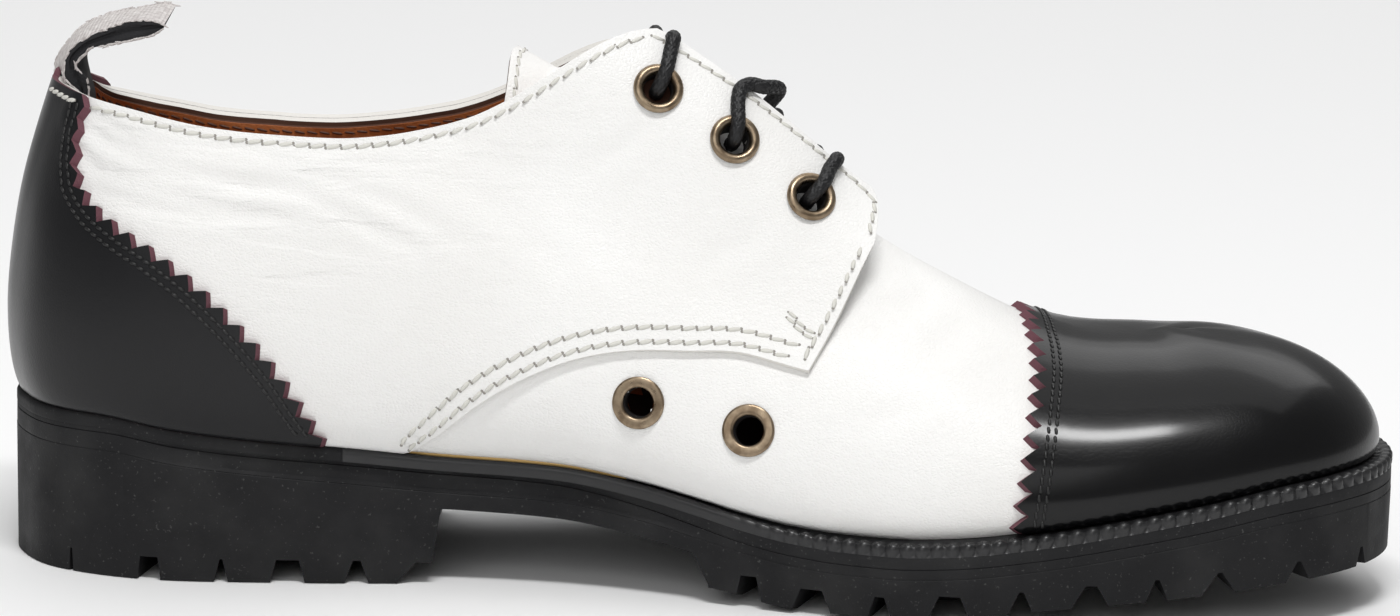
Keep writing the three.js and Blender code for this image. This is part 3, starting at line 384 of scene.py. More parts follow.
def throat_top(place):
    at = inner(place)
    edge = np.sqrt(ease((at - THROAT_END) / 0.16))
    tuck = by_side(place, **THROAT_TUCK) * ease((at - 7.5) / 0.4)
    return np.where(at <= THROAT_END, 1.0, 1 + (collar(place) - tuck - 1) * edge)


# Materials.
def material(name, color, roughness, metallic=0.0, **sockets):
    m = bpy.data.materials.new(name)
    m.use_nodes = True
    shader = m.node_tree.nodes["Principled BSDF"]
    shader.inputs["Base Color"].default_value = (*color, 1)
    shader.inputs["Roughness"].default_value = roughness
    shader.inputs["Metallic"].default_value = metallic
    for key, value in sockets.items():
        shader.inputs[key.replace("_", " ")].default_value = value
    return m


def node(m, kind, inputs=None, **settings):
    n = m.node_tree.nodes.new(kind)
    for key, value in settings.items():
        setattr(n, key, value)
    for key, value in (inputs or {}).items():
        if isinstance(value, bpy.types.NodeSocket):
            m.node_tree.links.new(value, n.inputs[key])
        else:
            n.inputs[key].default_value = value
    return n


def shader_of(m):
    return m.node_tree.nodes["Principled BSDF"]


def where(m, scale=(1, 1, 1)):
    coordinates = node(m, "ShaderNodeTexCoord")
    inputs = {"Vector": coordinates.outputs["Object"], "Scale": scale}
    return node(m, "ShaderNodeMapping", inputs).outputs[0]


def noise(m, scale, detail=3.0, stretch=(1, 1, 1)):
    inputs = {"Vector": where(m, stretch), "Scale": scale, "Detail": detail}
    return node(m, "ShaderNodeTexNoise", inputs).outputs[0]


def cells(m, scale, stretch=(1, 1, 1)):
    return node(m, "ShaderNodeTexVoronoi", {"Vector": where(m, stretch), "Scale": scale},
                feature="DISTANCE_TO_EDGE").outputs["Distance"]


def span(m, value, low, high, to_low, to_high):
    return node(m, "ShaderNodeMapRange", {
        "Value": value, "From Min": low, "From Max": high, "To Min": to_low, "To Max": to_high}).outputs[0]


def bumped(m, *layers):
    """Layers of relief: a value, and its height in metres."""
    normal = None
    for value, height in layers:
        inputs = {"Height": value, "Strength": 1.0, "Distance": height}
        if normal:
            inputs["Normal"] = normal
        normal = node(m, "ShaderNodeBump", inputs).outputs[0]
    m.node_tree.links.new(normal, shader_of(m).inputs["Normal"])


def to_socket(m, value, socket):
    m.node_tree.links.new(value, shader_of(m).inputs[socket])


def joined(m, operation, first, second):
    return node(m, "ShaderNodeMath", {0: first, 1: second}, operation=operation).outputs[0]


def tinted(m, value, low, high):
    mix = node(m, "ShaderNodeMix", {"Factor": value}, data_type="RGBA")
    for key, color in (("A", low), ("B", high)):
        for s in mix.inputs:
            if s.name == key and s.type == "RGBA":
                s.default_value = (*color, 1)
    to_socket(m, [s for s in mix.outputs if s.type == "RGBA"][0], "Base Color")


def spotted(m, scale, detail, low, high, stretch=(1, 1, 1), bottom=0.35):
    """A colour that wanders between two."""
    tinted(m, span(m, noise(m, scale, detail, stretch), bottom, 0.7, 0, 1), low, high)


def uneven(m, scale, low, high, detail=3.0, top=0.7):
    """Roughness that wanders between two values."""
    to_socket(m, span(m, noise(m, scale, detail), 0.3, top, low, high), "Roughness")


def grain(m, scale, width=0.2, stretch=(1, 1, 1)):
    """Small cells, as of leather."""
    return span(m, cells(m, scale, stretch), 0, width, 0, 1)


WHITE = material("white_leather", (0.86, 0.85, 0.83), 0.46,
                 Specular_IOR_Level=0.45, Coat_Weight=0.12, Coat_Roughness=0.35)
spotted(WHITE, 22, 4, (0.84, 0.83, 0.81), (0.88, 0.875, 0.86))
folds = span(WHITE, noise(WHITE, 1.0, 4, (26, 40, 150)), 0.42, 0.5, 0, 1)
spot = node(WHITE, "ShaderNodeSeparateXYZ", {"Vector": where(WHITE)}).outputs
near_heel = span(WHITE, spot["X"], 0.03, 0.095, 1, 0)
high_up = span(WHITE, spot["Z"], 0.05, 0.068, 0, 1)
folds = joined(WHITE, "MULTIPLY", folds, joined(WHITE, "MULTIPLY", near_heel, high_up))
bumped(WHITE, (grain(WHITE, 1150, 0.25, (1, 1, 1.3)), 0.00005),
       (noise(WHITE, 260, 5, (0.6, 1, 1.6)), 0.00014), (folds, 0.00018))
uneven(WHITE, 60, 0.4, 0.52)

WHITE_EDGE = material("white_leather_cut", (0.74, 0.72, 0.68), 0.8)
bumped(WHITE_EDGE, (noise(WHITE_EDGE, 1800, 3), 0.0001))

BLACK = material("black_leather", (0.008, 0.008, 0.009), 0.38,
                 Specular_IOR_Level=0.16, Coat_Weight=0.28, Coat_Roughness=0.24)
bumped(BLACK, (grain(BLACK, 1500), 0.000012), (noise(BLACK, 120, 4), 0.00008))
uneven(BLACK, 40, 0.26, 0.4)

POLISHED = material("polished_leather", (0.002, 0.002, 0.0024), 0.36,
                    Specular_IOR_Level=0.1, Coat_Weight=0.45, Coat_Roughness=0.15)
bumped(POLISHED, (grain(POLISHED, 1100), 0.00001), (noise(POLISHED, 90, 4), 0.00008),
       (noise(POLISHED, 420, 3), 0.00003))
uneven(POLISHED, 55, 0.28, 0.42, 4, 0.75)

BURGUNDY = material("pinked_edge", (0.13, 0.045, 0.06), 0.75)
bumped(BURGUNDY, (noise(BURGUNDY, 2500, 3), 0.00015))

LINING = material("tan_lining", (0.42, 0.135, 0.04), 0.55, Specular_IOR_Level=0.35)
spotted(LINING, 120, 4, (0.33, 0.095, 0.026), (0.5, 0.17, 0.055), (1, 1, 2), 0.3)
bumped(LINING, (grain(LINING, 900, 0.25), 0.00004), (noise(LINING, 160, 5), 0.00025))

LINING_EDGE = material("lining_cut", (0.09, 0.035, 0.02), 0.9)

RUBBER = material("black_rubber", (0.012, 0.012, 0.013), 0.6, Specular_IOR_Level=0.2)
dust = span(RUBBER, noise(RUBBER, 1500, 2), 0.66, 0.74, 0, 0.5)
patches = span(RUBBER, noise(RUBBER, 70, 5), 0.45, 0.8, 0, 0.16)
tinted(RUBBER, joined(RUBBER, "MAXIMUM", dust, patches), (0.011, 0.011, 0.012), (0.09, 0.09, 0.087))
bumped(RUBBER, (noise(RUBBER, 2200, 3), 0.00005), (noise(RUBBER, 300, 4), 0.00008))
uneven(RUBBER, 90, 0.52, 0.75, 4)

WELT = material("welt_rubber", (0.014, 0.014, 0.015), 0.34, Specular_IOR_Level=0.5)
bumped(WELT, (noise(WELT, 900, 3), 0.00005))
uneven(WELT, 160, 0.28, 0.46)

BRASS = material("antique_brass", (0.3, 0.225, 0.15), 0.3, 1.0)
spotted(BRASS, 420, 4, (0.2, 0.145, 0.095), (0.38, 0.3, 0.21))
uneven(BRASS, 700, 0.24, 0.44, 4)

# Painted shade: a dark colour inside the toe, on the insole's forefoot and down the eyelets' barrels.
PAINTED_SHADE = material("eyelet_shadow", (0.012, 0.009, 0.008), 0.8)
CORD = material("black_cord", (0.008, 0.008, 0.009), 0.45, Specular_IOR_Level=0.4)
bumped(CORD, (noise(CORD, 3200, 2), 0.00008))

WHITE_THREAD = material("white_thread", (0.66, 0.65, 0.6), 0.6)
BLACK_THREAD = material("black_thread", (0.008, 0.008, 0.008), 0.42)
BROWN_EDGE = material("brown_cut", (0.11, 0.05, 0.03), 0.8)
BROWN_THREAD = material("brown_thread", (0.09, 0.035, 0.02), 0.6)
# A grey for the painted shade in the needle holes.
HOLE_SHADE = material("needle_hole_shade", (0.3, 0.285, 0.26), 0.9)

RIBBON = material("ribbon", (0.62, 0.58, 0.56), 0.75)
WEAVE = {"Vector": where(RIBBON, (1, 0, 1)), "Scale": 380.0, "Distortion": 1.5}
weave = node(RIBBON, "ShaderNodeTexWave", WEAVE).outputs[1]
spotted(RIBBON, 900, 3, (0.5, 0.46, 0.45), (0.72, 0.69, 0.67))
bumped(RIBBON, (weave, 0.00012), (noise(RIBBON, 2000, 3), 0.0001))
RIBBON_BACK = material("ribbon_back", (0.01, 0.01, 0.012), 0.8)
bumped(RIBBON_BACK, (noise(RIBBON_BACK, 2500, 3), 0.0002))

GLUE = material("glue", (0.62, 0.4, 0.14), 0.45)


def shaded(mesh, smooth):
    mesh.polygons.foreach_set("use_smooth", [True] * len(mesh.polygons))
    mesh.set_sharp_from_angle(angle=math.radians(smooth))


def bevelled(obj, width, limit):
    edge = obj.modifiers.new("edge", "BEVEL")
    edge.width = width * 0.001
    edge.segments = 2
    edge.limit_method = "ANGLE"
    edge.angle_limit = math.radians(limit)


def solid(name, points, faces):
    mesh = bpy.data.meshes.new(name)
    mesh.from_pydata((np.asarray(points) * 0.001).tolist(), [], faces)
    obj = bpy.data.objects.new(name, mesh)
    bpy.context.scene.collection.objects.link(obj)
    return obj


def mesh_object(name, points, faces, materials, slots=None, smooth=45, bevel=None):
    obj = solid(name, points, faces)
    for m in materials:
        obj.data.materials.append(m)
    if slots is not None:
        obj.data.polygons.foreach_set("material_index", slots)
    shaded(obj.data, smooth)
    obj.data.update()
    if bevel:
        bevelled(obj, bevel, smooth)
    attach(obj, "root")
    return obj


def without_repeats(face):
    return [v for i, v in enumerate(face) if v != face[i - 1]]


# Places that agree to this fine a step are one point of a panel.
STEPS_PER_PLACE = 20000
HOLE_DEPTH = 6


def panel(name, S, T, point, low, high, materials, holes=(), bevel=0.25, paint=None, under_places=None):
    """A sheet of leather over a grid of places: an outer face, an inner one, and cut edges."""
    at = np.where(T >= 1 - 1e-6, inner(S), S % RING)
    key = np.round(np.stack([at, T], -1) * STEPS_PER_PLACE).astype(int).reshape(-1, 2)
    _, first, ids = np.unique(key, axis=0, return_index=True, return_inverse=True)
    s, t = S.reshape(-1)[first], T.reshape(-1)[first]
    high = high(s, t) if callable(high) else high
    low = low(s, t) if callable(low) else low
    top, under = point(s, t, high), point(s, t, low)
    if under_places:
        us, ut = (grid.reshape(-1)[first] for grid in under_places)
        under = point(us, ut, low)
    ids = ids.reshape(S.shape)
    corners = np.stack([ids[:-1, :-1], ids[1:, :-1], ids[1:, 1:], ids[:-1, 1:]], -1).reshape(-1, 4)
    centre = top[corners].mean(1)
    keep = np.ones(len(corners), bool)
    for origin, normal, radius in holes:
        rel = centre - origin
        axial = rel @ normal
        radial = np.linalg.norm(rel - axial[:, None] * normal, axis=1)
        keep &= (radial > radius) | (np.abs(axial) > HOLE_DEPTH)
    faces, edges = [], {}
    for face in corners[keep].tolist():
        face = without_repeats(face)
        if len(set(face)) >= 3:
            faces.append(face)
            for i, v in enumerate(face):
                edges[(face[i - 1], v)] = True
    n = len(s)
    all_faces = [f[::-1] for f in faces] + [[v + n for v in f] for f in faces]
    slots = [0] * len(faces) + [1] * len(faces)
    if paint is not None:
        pick = paint(s, t)
        slots = [0] * len(faces) + [int(pick[f[0]]) for f in faces]
    for a, b in edges:
        if (b, a) not in edges:
            all_faces.append([a, b, b + n, a + n])
            slots.append(2)
    return mesh_object(name, np.concatenate([top, under]), all_faces, materials, slots, bevel=bevel)


def frame_at(point, place, up):
    origin = point(place, up, 0)
    ahead, above = point(place + 0.01, up, 0), point(place, up + 0.004, 0)
    normal = unit(np.cross(above - origin, ahead - origin))
    if normal @ last_normal(np.array(place), np.array(up)) < 0:
        normal = -normal
    return origin, normal


def facing_frame(side, name):
    at, up = FACING_EYELETS[name]
    forward = 0 if side == "medial" else OUTER_EYELETS_FORWARD
    return frame_at(quarter_point, on_side(side, at) + forward, up)


SIDES = ("medial", "lateral")
EYELET_HOLE_R = 3.9
FRAMES = {f"{side}_{name}": facing_frame(side, name) for side in SIDES for name in FACING_EYELETS}
VENTS = {f"vent_{name}": frame_at(upper_point, *VENT_EYELETS[name]) for name in VENT_EYELETS}
HOLES = [(origin, normal, EYELET_HOLE_R) for origin, normal in [*FRAMES.values(), *VENTS.values()]]


def steps(*stops):
    """Places between stops, each pair given with its own step."""
    parts = [np.arange(a, b, step) for a, b, step in stops]
    return np.concatenate([*parts, [stops[-1][1]]])


def both_sides(*stops):
    half = steps(*stops)
    return np.concatenate([half, RING - half[-2::-1]])


# The upper: vamp and lower quarters, one hollow shell.
TAN, SHADED, BROWN = 1, 3, 4


def inner_paint(s, t):
    """Tan inside, painted shade toward the toe, and brown along the turned edge."""
    below_edge = np.linalg.norm(last(s, t) - last(s, throat_top(s)), axis=-1)
    kind = np.where((below_edge < 2.2) & (inner(s) > 6.1), BROWN, TAN)
    return np.where(inner(s) < 7.35, SHADED, kind)


around = both_sides((0, 6, 0.07), (6, 6.2, 0.02), (6.2, 7.5, 0.05), (7.5, 8.3, 0.04), (8.3, BACK, 0.07))
f = np.linspace(0, 1, 68)
S = np.repeat(around[:, None], len(f), 1)
T = throat_top(around)[:, None] * f[None, :]
upper = panel("upper_shell", S, T, upper_point, -UPPER_WALL, 0, [WHITE, LINING, WHITE_EDGE, PAINTED_SHADE, BROWN_EDGE],
              HOLES, 0.3, inner_paint)
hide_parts("upper")


# The quarters and facings, cut to their lower edge, which reaches further forward on the outer side.
LATERAL_FORWARD = 0.3
FRONT_AT, FRONT_UP = 5.84, 0.385
FRONT_HOLLOW = 0.04


def edge_forward(side, at):
    return 0 if side == "medial" else LATERAL_FORWARD * ease(7.5 - at)


def quarter_grid(side):
    a = steps((FACING_FRONT, 5.95, 0.015), (5.95, 8.4, 0.035), (8.4, BACK - 0.02, 0.045))
    low = a + 0.12 * (1 - ease((a - FACING_FRONT) / 2))
    bottom = reading(QUARTER_EDGE, "at", "up", low)
    top = facing_top(on_side(side, a))
    forward = edge_forward(side, a)
    ends = np.linspace(0, 0.13, 16)
    f = np.concatenate([ends, np.linspace(0.13, 0.87, 44)[1:-1], np.linspace(0.87, 1, 16)])
    up = bottom[:, None] + (top - bottom)[:, None] * f
    at = (low - forward)[:, None] + (a - low + forward)[:, None] * f
    at -= FRONT_HOLLOW * np.sin(math.pi * f) * (1 - ease((a - FACING_FRONT) / 0.5))[:, None]
    return on_side(side, at), up


for side in SIDES:
    S, T = quarter_grid(side)
    if side == "lateral":
        S, T = S[::-1], T[::-1]
    quarter = panel(f"quarter_leather_{side}", S, T, quarter_point, LAYER, QUARTER_OUT,
                    [WHITE, WHITE, WHITE_EDGE], HOLES, 0.35)
    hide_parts(f"quarter_{side}")


# Pinked edges: a curve of places with teeth pushed out square to it, along the leather.
TOOTH_PITCH = 4.8
TOOTH_DEPTH = 2.7
COUNTER_TOOTH_DEPTH = 2.4
# The height above the last at which the teeth are spaced.
TOOTH_LAYER = 1.5


def moved(place, up, distance):
    """Places that lie a distance beside a curve of places, to its left seen from outside."""
    p = last(place, up)
    ds = (last(place + 0.005, up) - last(place - 0.005, up)) / 0.01
    above, below = np.minimum(up + 0.002, 1), np.maximum(up - 0.002, 0)
    dt = (last(place, above) - last(place, below)) / (above - below)[:, None]
    tangent = unit(np.gradient(p, axis=0))
    aside = np.cross(side_normal(place, up), tangent) * np.broadcast_to(distance, place.shape)[:, None]
    ways = zip(np.stack([ds, dt], -1), aside)
    step = np.array([np.linalg.lstsq(pair, way, rcond=None)[0] for pair, way in ways])
    return place + step[:, 0], up + step[:, 1]


def beside(place, up, distance, way):
    """Places that lie a distance above, below, ahead of or behind a curve of places."""
    for signed in (distance, -distance):
        s, t = moved(place, up, signed)
        back = inner(s) - inner(place)
        gain = {"above": t - up, "below": up - t, "ahead": -back, "behind": back}[way]
        if np.mean(gain) >= 0:
            break
    return s, t


def per_place(place, up):
    """Millimetres for one step of place."""
    return np.linalg.norm(last(place + 0.01, up) - last(place - 0.01, up), axis=1) / 0.02


def flared(S, T, reach, drop):
    """The under face of a pinked piece, whose edges reach a little past the outer face's."""
    s, t = S.copy(), T.copy()
    s[0] -= reach
    s[-1] += reach
    for end in (0, -1):
        t[end] = np.clip(T[end] - drop, 0, 1)
    return s, t


def length_along(place, up):
    return distances(cap_point(place, up, TOOTH_LAYER))


def tooth_count(place, up):
    return round(length_along(place, up)[-1] / TOOTH_PITCH)


def evenly(place, up, count):
    """The same curve of places, with eight points at equal distances in each tooth."""
    d = length_along(place, up)
    e = np.linspace(0, d[-1], 8 * count + 1)
    return np.interp(e, d, place), np.interp(e, d, up), e


def teeth(distance, depth, count):
    phase = distance / distance[-1] * count
    return depth * (1 - np.abs((phase % 1) * 2 - 1)) ** 0.92


SEAM_UP = np.linspace(0, 1, 400)
SEAM_AT = reading(CAP_SEAM, "up", "at", SEAM_UP)
SEAM_TEETH = tooth_count(SEAM_AT, SEAM_UP)


def cap_seam(side):
    return evenly(on_side(side, SEAM_AT), SEAM_UP, SEAM_TEETH)


# The toe cap.
shares = np.concatenate([np.linspace(0, 0.9, 34), [0.94, 0.97, 0.985, 1.0]])
columns = []
for side in ("lateral", "medial"):
    s, t, d = cap_seam(side)
    base = inner(s)
    grid = [(share * base, t) for share in shares]
    grid.append((base + teeth(d, TOOTH_DEPTH, SEAM_TEETH) / per_place(s, t), t))
    grid = [(on_side(side, a), u) for a, u in grid]
    columns += grid[::-1] if side == "lateral" else grid[1:]
S, T = (np.array(values) for values in zip(*columns))
cap = panel("toe_cap_leather", S, T, cap_point, LAYER, CAP_OUT, [POLISHED, BURGUNDY, BURGUNDY], bevel=0.15,
            under_places=flared(S, T, 0.75 / per_place(s, t), 0.005))
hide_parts("toe_cap")


# The heel counter.
w = np.linspace(0, 1, 300)
edge_at = np.full(w.shape, 10.0)
for _ in range(60):
    edge_at = 0.5 * edge_at + 0.5 * reading(COUNTER_EDGE, "up", "at", w * collar(edge_at))
COUNTER_TEETH = tooth_count(edge_at, w * collar(edge_at))
edge_s, edge_t, edge_d = evenly(edge_at, w * collar(edge_at), COUNTER_TEETH)
tooth_out = teeth(edge_d, COUNTER_TOOTH_DEPTH, COUNTER_TEETH) * (1 - 0.5 * ease((edge_t - 0.27) / 0.1))
tooth_s, tooth_t = beside(edge_s, edge_t, tooth_out, "ahead")
tooth_t = np.clip(tooth_t, 0, collar(tooth_s))
columns = [(tooth_s, tooth_t)]
for share in np.concatenate([[0, 0.012, 0.03, 0.06], np.linspace(0.1, 1, 26)]):
    s = edge_s + (BACK - edge_s) * share
    columns.append((s, edge_t / collar(edge_s) * collar(s)))
for s, t in columns[-2::-1]:
    level = t / np.maximum(collar(s), 1e-6)
    columns.append((RING - s, collar(RING - s) * level * (1 + 0.02 * ease((level - 0.9) / 0.1))))
S, T = (np.array(values) for values in zip(*columns))
counter = panel("heel_counter_leather", S, T, quarter_point, QUARTER_OUT + LAYER, COUNTER_OUT,
                [BLACK, BURGUNDY, BURGUNDY], bevel=0.15,
                under_places=flared(S, T, 0.8 / per_place(tooth_s, tooth_t), 0.003))
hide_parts("heel_counter")


# The tongue. Its rows run across the instep and curve back toward the ridge.
CREST_CURVE = 1.6
TONGUE_TOP = -UPPER_WALL - 0.6
TONGUE_THICKNESS = 2


def tongue_row(at, up):
    """The row of the tongue that passes through a place, by its start at the side."""
    a = at
    for _ in range(30):
        low = reading(TONGUE, "at", "up", a)
        f = np.clip((up - low) / (1 - low), 0, 1)
        a = at - reading(TONGUE, "at", "crest", a) * f ** CREST_CURVE
    return a


def tongue_point(place, up, offset):
    place, up = np.broadcast_arrays(np.asarray(place, float), np.asarray(up, float))
    at = inner(place)
    side = by_side(place, 1.75, -1.75) * ease((1 - up) / 0.3)
    lift = (5.75 + side) * ease((up - 0.42) / 0.44) * ease(8.75 - at) * vamp_fade(at - 0.14) * 0.8
    p = last(place, up) + last_normal(place, up) * (offset + lift)[..., None]
    p[..., 2] -= reading(TONGUE, "at", "dip", tongue_row(at, up)) * INSTEP_RISE
    return p


a = np.linspace(5.7, 8.05, 90)
f = np.linspace(0, 1, 30)
low, crest = reading(TONGUE, "at", "up", a), reading(TONGUE, "at", "crest", a)
S = a[:, None] + crest[:, None] * (f ** CREST_CURVE)[None, :]
T = low[:, None] + (1 - low)[:, None] * f[None, :]
outer_S = RING - (S - 0.17 * ease((a - 7.2) / 0.6)[:, None] * (1 - f ** 3)[None, :])
TONGUE_END = {"medial": (S[-3], T[-3]), "lateral": (outer_S[-3], T[-3])}
S = np.concatenate([S, outer_S[:, -2::-1]], 1)
T = np.concatenate([T, T[:, -2::-1]], 1)
tongue = panel("tongue_leather", S, T, tongue_point, TONGUE_TOP - TONGUE_THICKNESS, TONGUE_TOP,
               [WHITE, LINING, BROWN_EDGE], bevel=0.3)
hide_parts("tongue")

# The lining inside the collar, below the turned edge.
LINING_DROP = 0.9
around = both_sides((7.1, 8.3, 0.05), (8.3, BACK, 0.08))
below_s, below_t = beside(around, throat_top(around), LINING_DROP, "below")
f = np.linspace(0.04, 1, 30)
S = np.repeat(below_s[:, None], len(f), 1)
T = below_t[:, None] * f[None, :]
lining = panel("collar_lining", S, T, upper_point, -UPPER_WALL - 0.85, -UPPER_WALL - 0.05,
               [LINING_EDGE, LINING, LINING_EDGE], bevel=0.15)


# Stitches: small rounded threads along a curve of places, the white ones with grey discs of painted shade at
# their needle holes.
THREADS = {"white": [], "black": [], "brown": []}
NEEDLE_HOLE_SHADES = []
HOLE_SIDES = 6
STITCH_TILT = 0.2
STITCH_SHARE = 0.84
STITCH_FLATNESS = 0.75
WHITE_R, THIN_R, BROWN_R, TACK_R = 0.46, 0.36, 0.3, 0.4
ON_QUARTER = QUARTER_OUT + 0.02
ON_COUNTER = COUNTER_OUT + 0.02
FACING_ROW = table(
    "at up", (5.735, 0.7), (5.77, 0.76), (5.82, 0.812), (5.865, 0.866), (5.915, 0.9), (6.034, 0.923),
    (6.191, 0.938), (6.423, 0.938), (6.613, 0.938), (7.068, 0.936), (7.277, 0.936), (7.53, 0.934),
)


def thread_template(sides=6):
    points = []
    for x, r in ((-0.5, 0.35), (-0.36, 0.85), (0, 1), (0.36, 0.85), (0.5, 0.35)):
        for k in range(sides):
            angle = 2 * math.pi * k / sides
            points.append((x, r * math.cos(angle), r * math.sin(angle)))
    ends = [tuple(range(sides))[::-1], tuple(range(4 * sides, 5 * sides))]
    return np.array(points), quads(5, sides) + ends


THREAD, THREAD_FACES = thread_template()


def stitches(group, place, up, point, height, pitch, thick=WHITE_R):
    p = point(place, up, height)
    d = distances(p)
    count = max(1, round(d[-1] / pitch))
    at = (np.arange(count) + 0.5) * d[-1] / count
    s, t = np.interp(at, d, place), np.interp(at, d, up)
    before, centre, after = (
        np.stack([np.interp(at + step, d, p[:, k]) for k in range(3)], -1) for step in (-0.5, 0, 0.5))
    normal = side_normal(s, t)
    ahead = after - before
    ahead = unit(ahead - normal * (ahead * normal).sum(1, keepdims=True))
    aside = np.cross(normal, ahead)
    cos, sin = math.cos(STITCH_TILT), math.sin(STITCH_TILT)
    ahead, aside = ahead * cos + aside * sin, aside * cos - ahead * sin
    size = pitch * STITCH_SHARE
    points = (centre[:, None] + THREAD[None, :, :1] * ahead[:, None] * size
              + THREAD[None, :, 1:2] * aside[:, None] * thick
              + THREAD[None, :, 2:] * normal[:, None] * thick * STITCH_FLATNESS)
    THREADS[group].append(points.reshape(-1, 3))
    # Grey discs at both ends of each white stitch: painted shade of the needle holes.
    if group == "white":
        ends = centre[:, None] + np.array([-0.56, 0.56])[None, :, None] * ahead[:, None] * size
        angle = np.arange(HOLE_SIDES) * 2 * math.pi / HOLE_SIDES
        ring = sum(share[None, None, :, None] * axis[:, None, None] * thick * 0.75
                   for share, axis in ((np.cos(angle), ahead), (np.sin(angle), aside)))
        NEEDLE_HOLE_SHADES.append((ends[:, :, None] + ring + (normal * 0.03)[:, None, None]).reshape(-1, 3))


def collar_curve(side, start, end, inset):
    place = on_side(side, np.linspace(start, end, 300))
    return beside(place, facing_top(place), inset, "below")


def lower_curve(side, start, inset):
    a = np.linspace(start, 8.24, 200)
    up = reading(QUARTER_EDGE, "at", "up", a)
    return beside(on_side(side, a - edge_forward(side, a)), up, inset, "above")


def front_curve(side, inset):
    f = np.linspace(0.05, 0.95, 80)
    start = FRONT_AT - edge_forward(side, FRONT_AT)
    at = start + (FACING_FRONT - start) * f - FRONT_HOLLOW * np.sin(math.pi * f)
    up = FRONT_UP + (FACING_CORNER - FRONT_UP) * f
    return beside(on_side(side, at), up, inset, "behind")


def facing_curve(side):
    if side == "lateral":
        return collar_curve(side, 7.44, 5.9, 2.0)
    s = np.linspace(5.785, 7.545, 200)
    return s, reading(FACING_ROW, "at", "up", s)


for side in SIDES:
    stitches("white", *collar_curve(side, 11.1, 7.6, 1.7), quarter_point, ON_QUARTER, 3.15)
    stitches("white", *collar_curve(side, 12.45, 11.3, 1.9), quarter_point, ON_COUNTER, 3.15)
    stitches("white", *facing_curve(side), quarter_point, ON_QUARTER, 2.8)
    stitches("white", *front_curve(side, 1.9), quarter_point, ON_QUARTER, 2.8)
    for start, inset in ((5.98, 1.6), (5.94, 4.5)):
        stitches("white", *lower_curve(side, start, inset), quarter_point, ON_QUARTER, 3.0)
    for drop in (0, 0.014):
        a = np.linspace(6.06, 5.86, 30)
        up = np.interp(a, [5.86, 5.96, 6.06], [0.475, 0.482, 0.5]) - drop
        place = on_side(side, a - edge_forward(side, a))
        stitches("white", place, up, quarter_point, ON_QUARTER, 2.2, TACK_R)
    s, t, _ = cap_seam(side)
    for inset in (1.4, 2.9):
        a, u = beside(s, t, inset, "ahead")
        keep = u > 0.02
        stitches("black", a[keep], np.clip(u[keep], 0, 1), cap_point, CAP_OUT + 0.05, 1.75, THIN_R)
    for inset in (0.6, 2.3):
        a, u = beside(edge_s, edge_t, inset, "behind")
        a = on_side(side, a)
        keep = (u > 0.015) & (u < collar(a) * 0.97)
        stitches("black", a[keep], u[keep], quarter_point, COUNTER_OUT + 0.05, 1.75, THIN_R)
    stitches("white", *TONGUE_END[side], tongue_point, TONGUE_TOP + 0.02, 2.8, THIN_R)
    place = on_side(side, np.linspace(7.3, BACK, 400))
    curve = beside(place, throat_top(place), 2.0, "below")
    stitches("brown", *curve, upper_point, -UPPER_WALL - 0.9, 2.6, BROWN_R)


def build_threads(group, name, thread_material):
    points = np.concatenate(THREADS[group])
    starts = range(0, len(points), len(THREAD))
    faces = [tuple(v + start for v in face) for start in starts for face in THREAD_FACES]
    mesh_object(name, points, faces, [thread_material], smooth=80)


build_threads("white", "white_stitches", WHITE_THREAD)
build_threads("black", "black_stitches", BLACK_THREAD)
build_threads("brown", "brown_stitches", BROWN_THREAD)
# The discs of painted shade at the needle holes, as one mesh.
points = np.concatenate(NEEDLE_HOLE_SHADES)
faces = [tuple(range(i, i + HOLE_SIDES)) for i in range(0, len(points), HOLE_SIDES)]
mesh_object("needle_hole_shades", points, faces, [HOLE_SHADE])


# The sole. Rings of points round the outline are joined into solids.
def edge_ring(place, distance, z):
    r = rib(place)
    p = r[:, :2] + outward(place) * np.broadcast_to(distance, place.shape)[:, None]
    height = z(p[:, 0]) if callable(z) else np.broadcast_to(z, place.shape)
    return np.concatenate([p, height[:, None]], 1)


def ringed(name, rings, materials, **options):
    """Quads between rings of equal length, capped across the shoe at both ends."""
    n = len(rings[0])
    faces = quads(len(rings), n)
    for start, turn in ((0, -1), ((len(rings) - 1) * n, 1)):
        for i in range(n // 2):
            across = (i, i + 1, (n - i - 1) % n, (n - i) % n)
            face = without_repeats([start + k for k in across])
            faces.append(tuple(face[::turn]))
    return mesh_object(name, np.concatenate(rings), faces, materials, **options)


OUTLINE = np.arange(0, RING, RING / 416)
MARGIN = rib(OUTLINE)[:, 7]


def seat(x):
    return bed(x) - 0.1


def under_welt(x):
    return bed(x) - 2.75


def midsole_bottom(x):
    return bed(x) - 7.3


def sole_bottom(x):
    return np.where(x < (BREAST_X + TREAD_X) / 2, 0.0, tread(x))


def shifted(function, dz):
    return lambda x: function(x) + dz


def parting(x):
    """The faint line where the upper layer of the unit ends."""
    return bed(x) - 3.7 - 1.5 * ease((x - 60) / 60)


def edge_rise(x):
    """The tread is turned up a little along its edge, under the ball."""
    return 0.15 + 0.85 * ease((x - 100) / 14) * ease((225 - x) / 50)


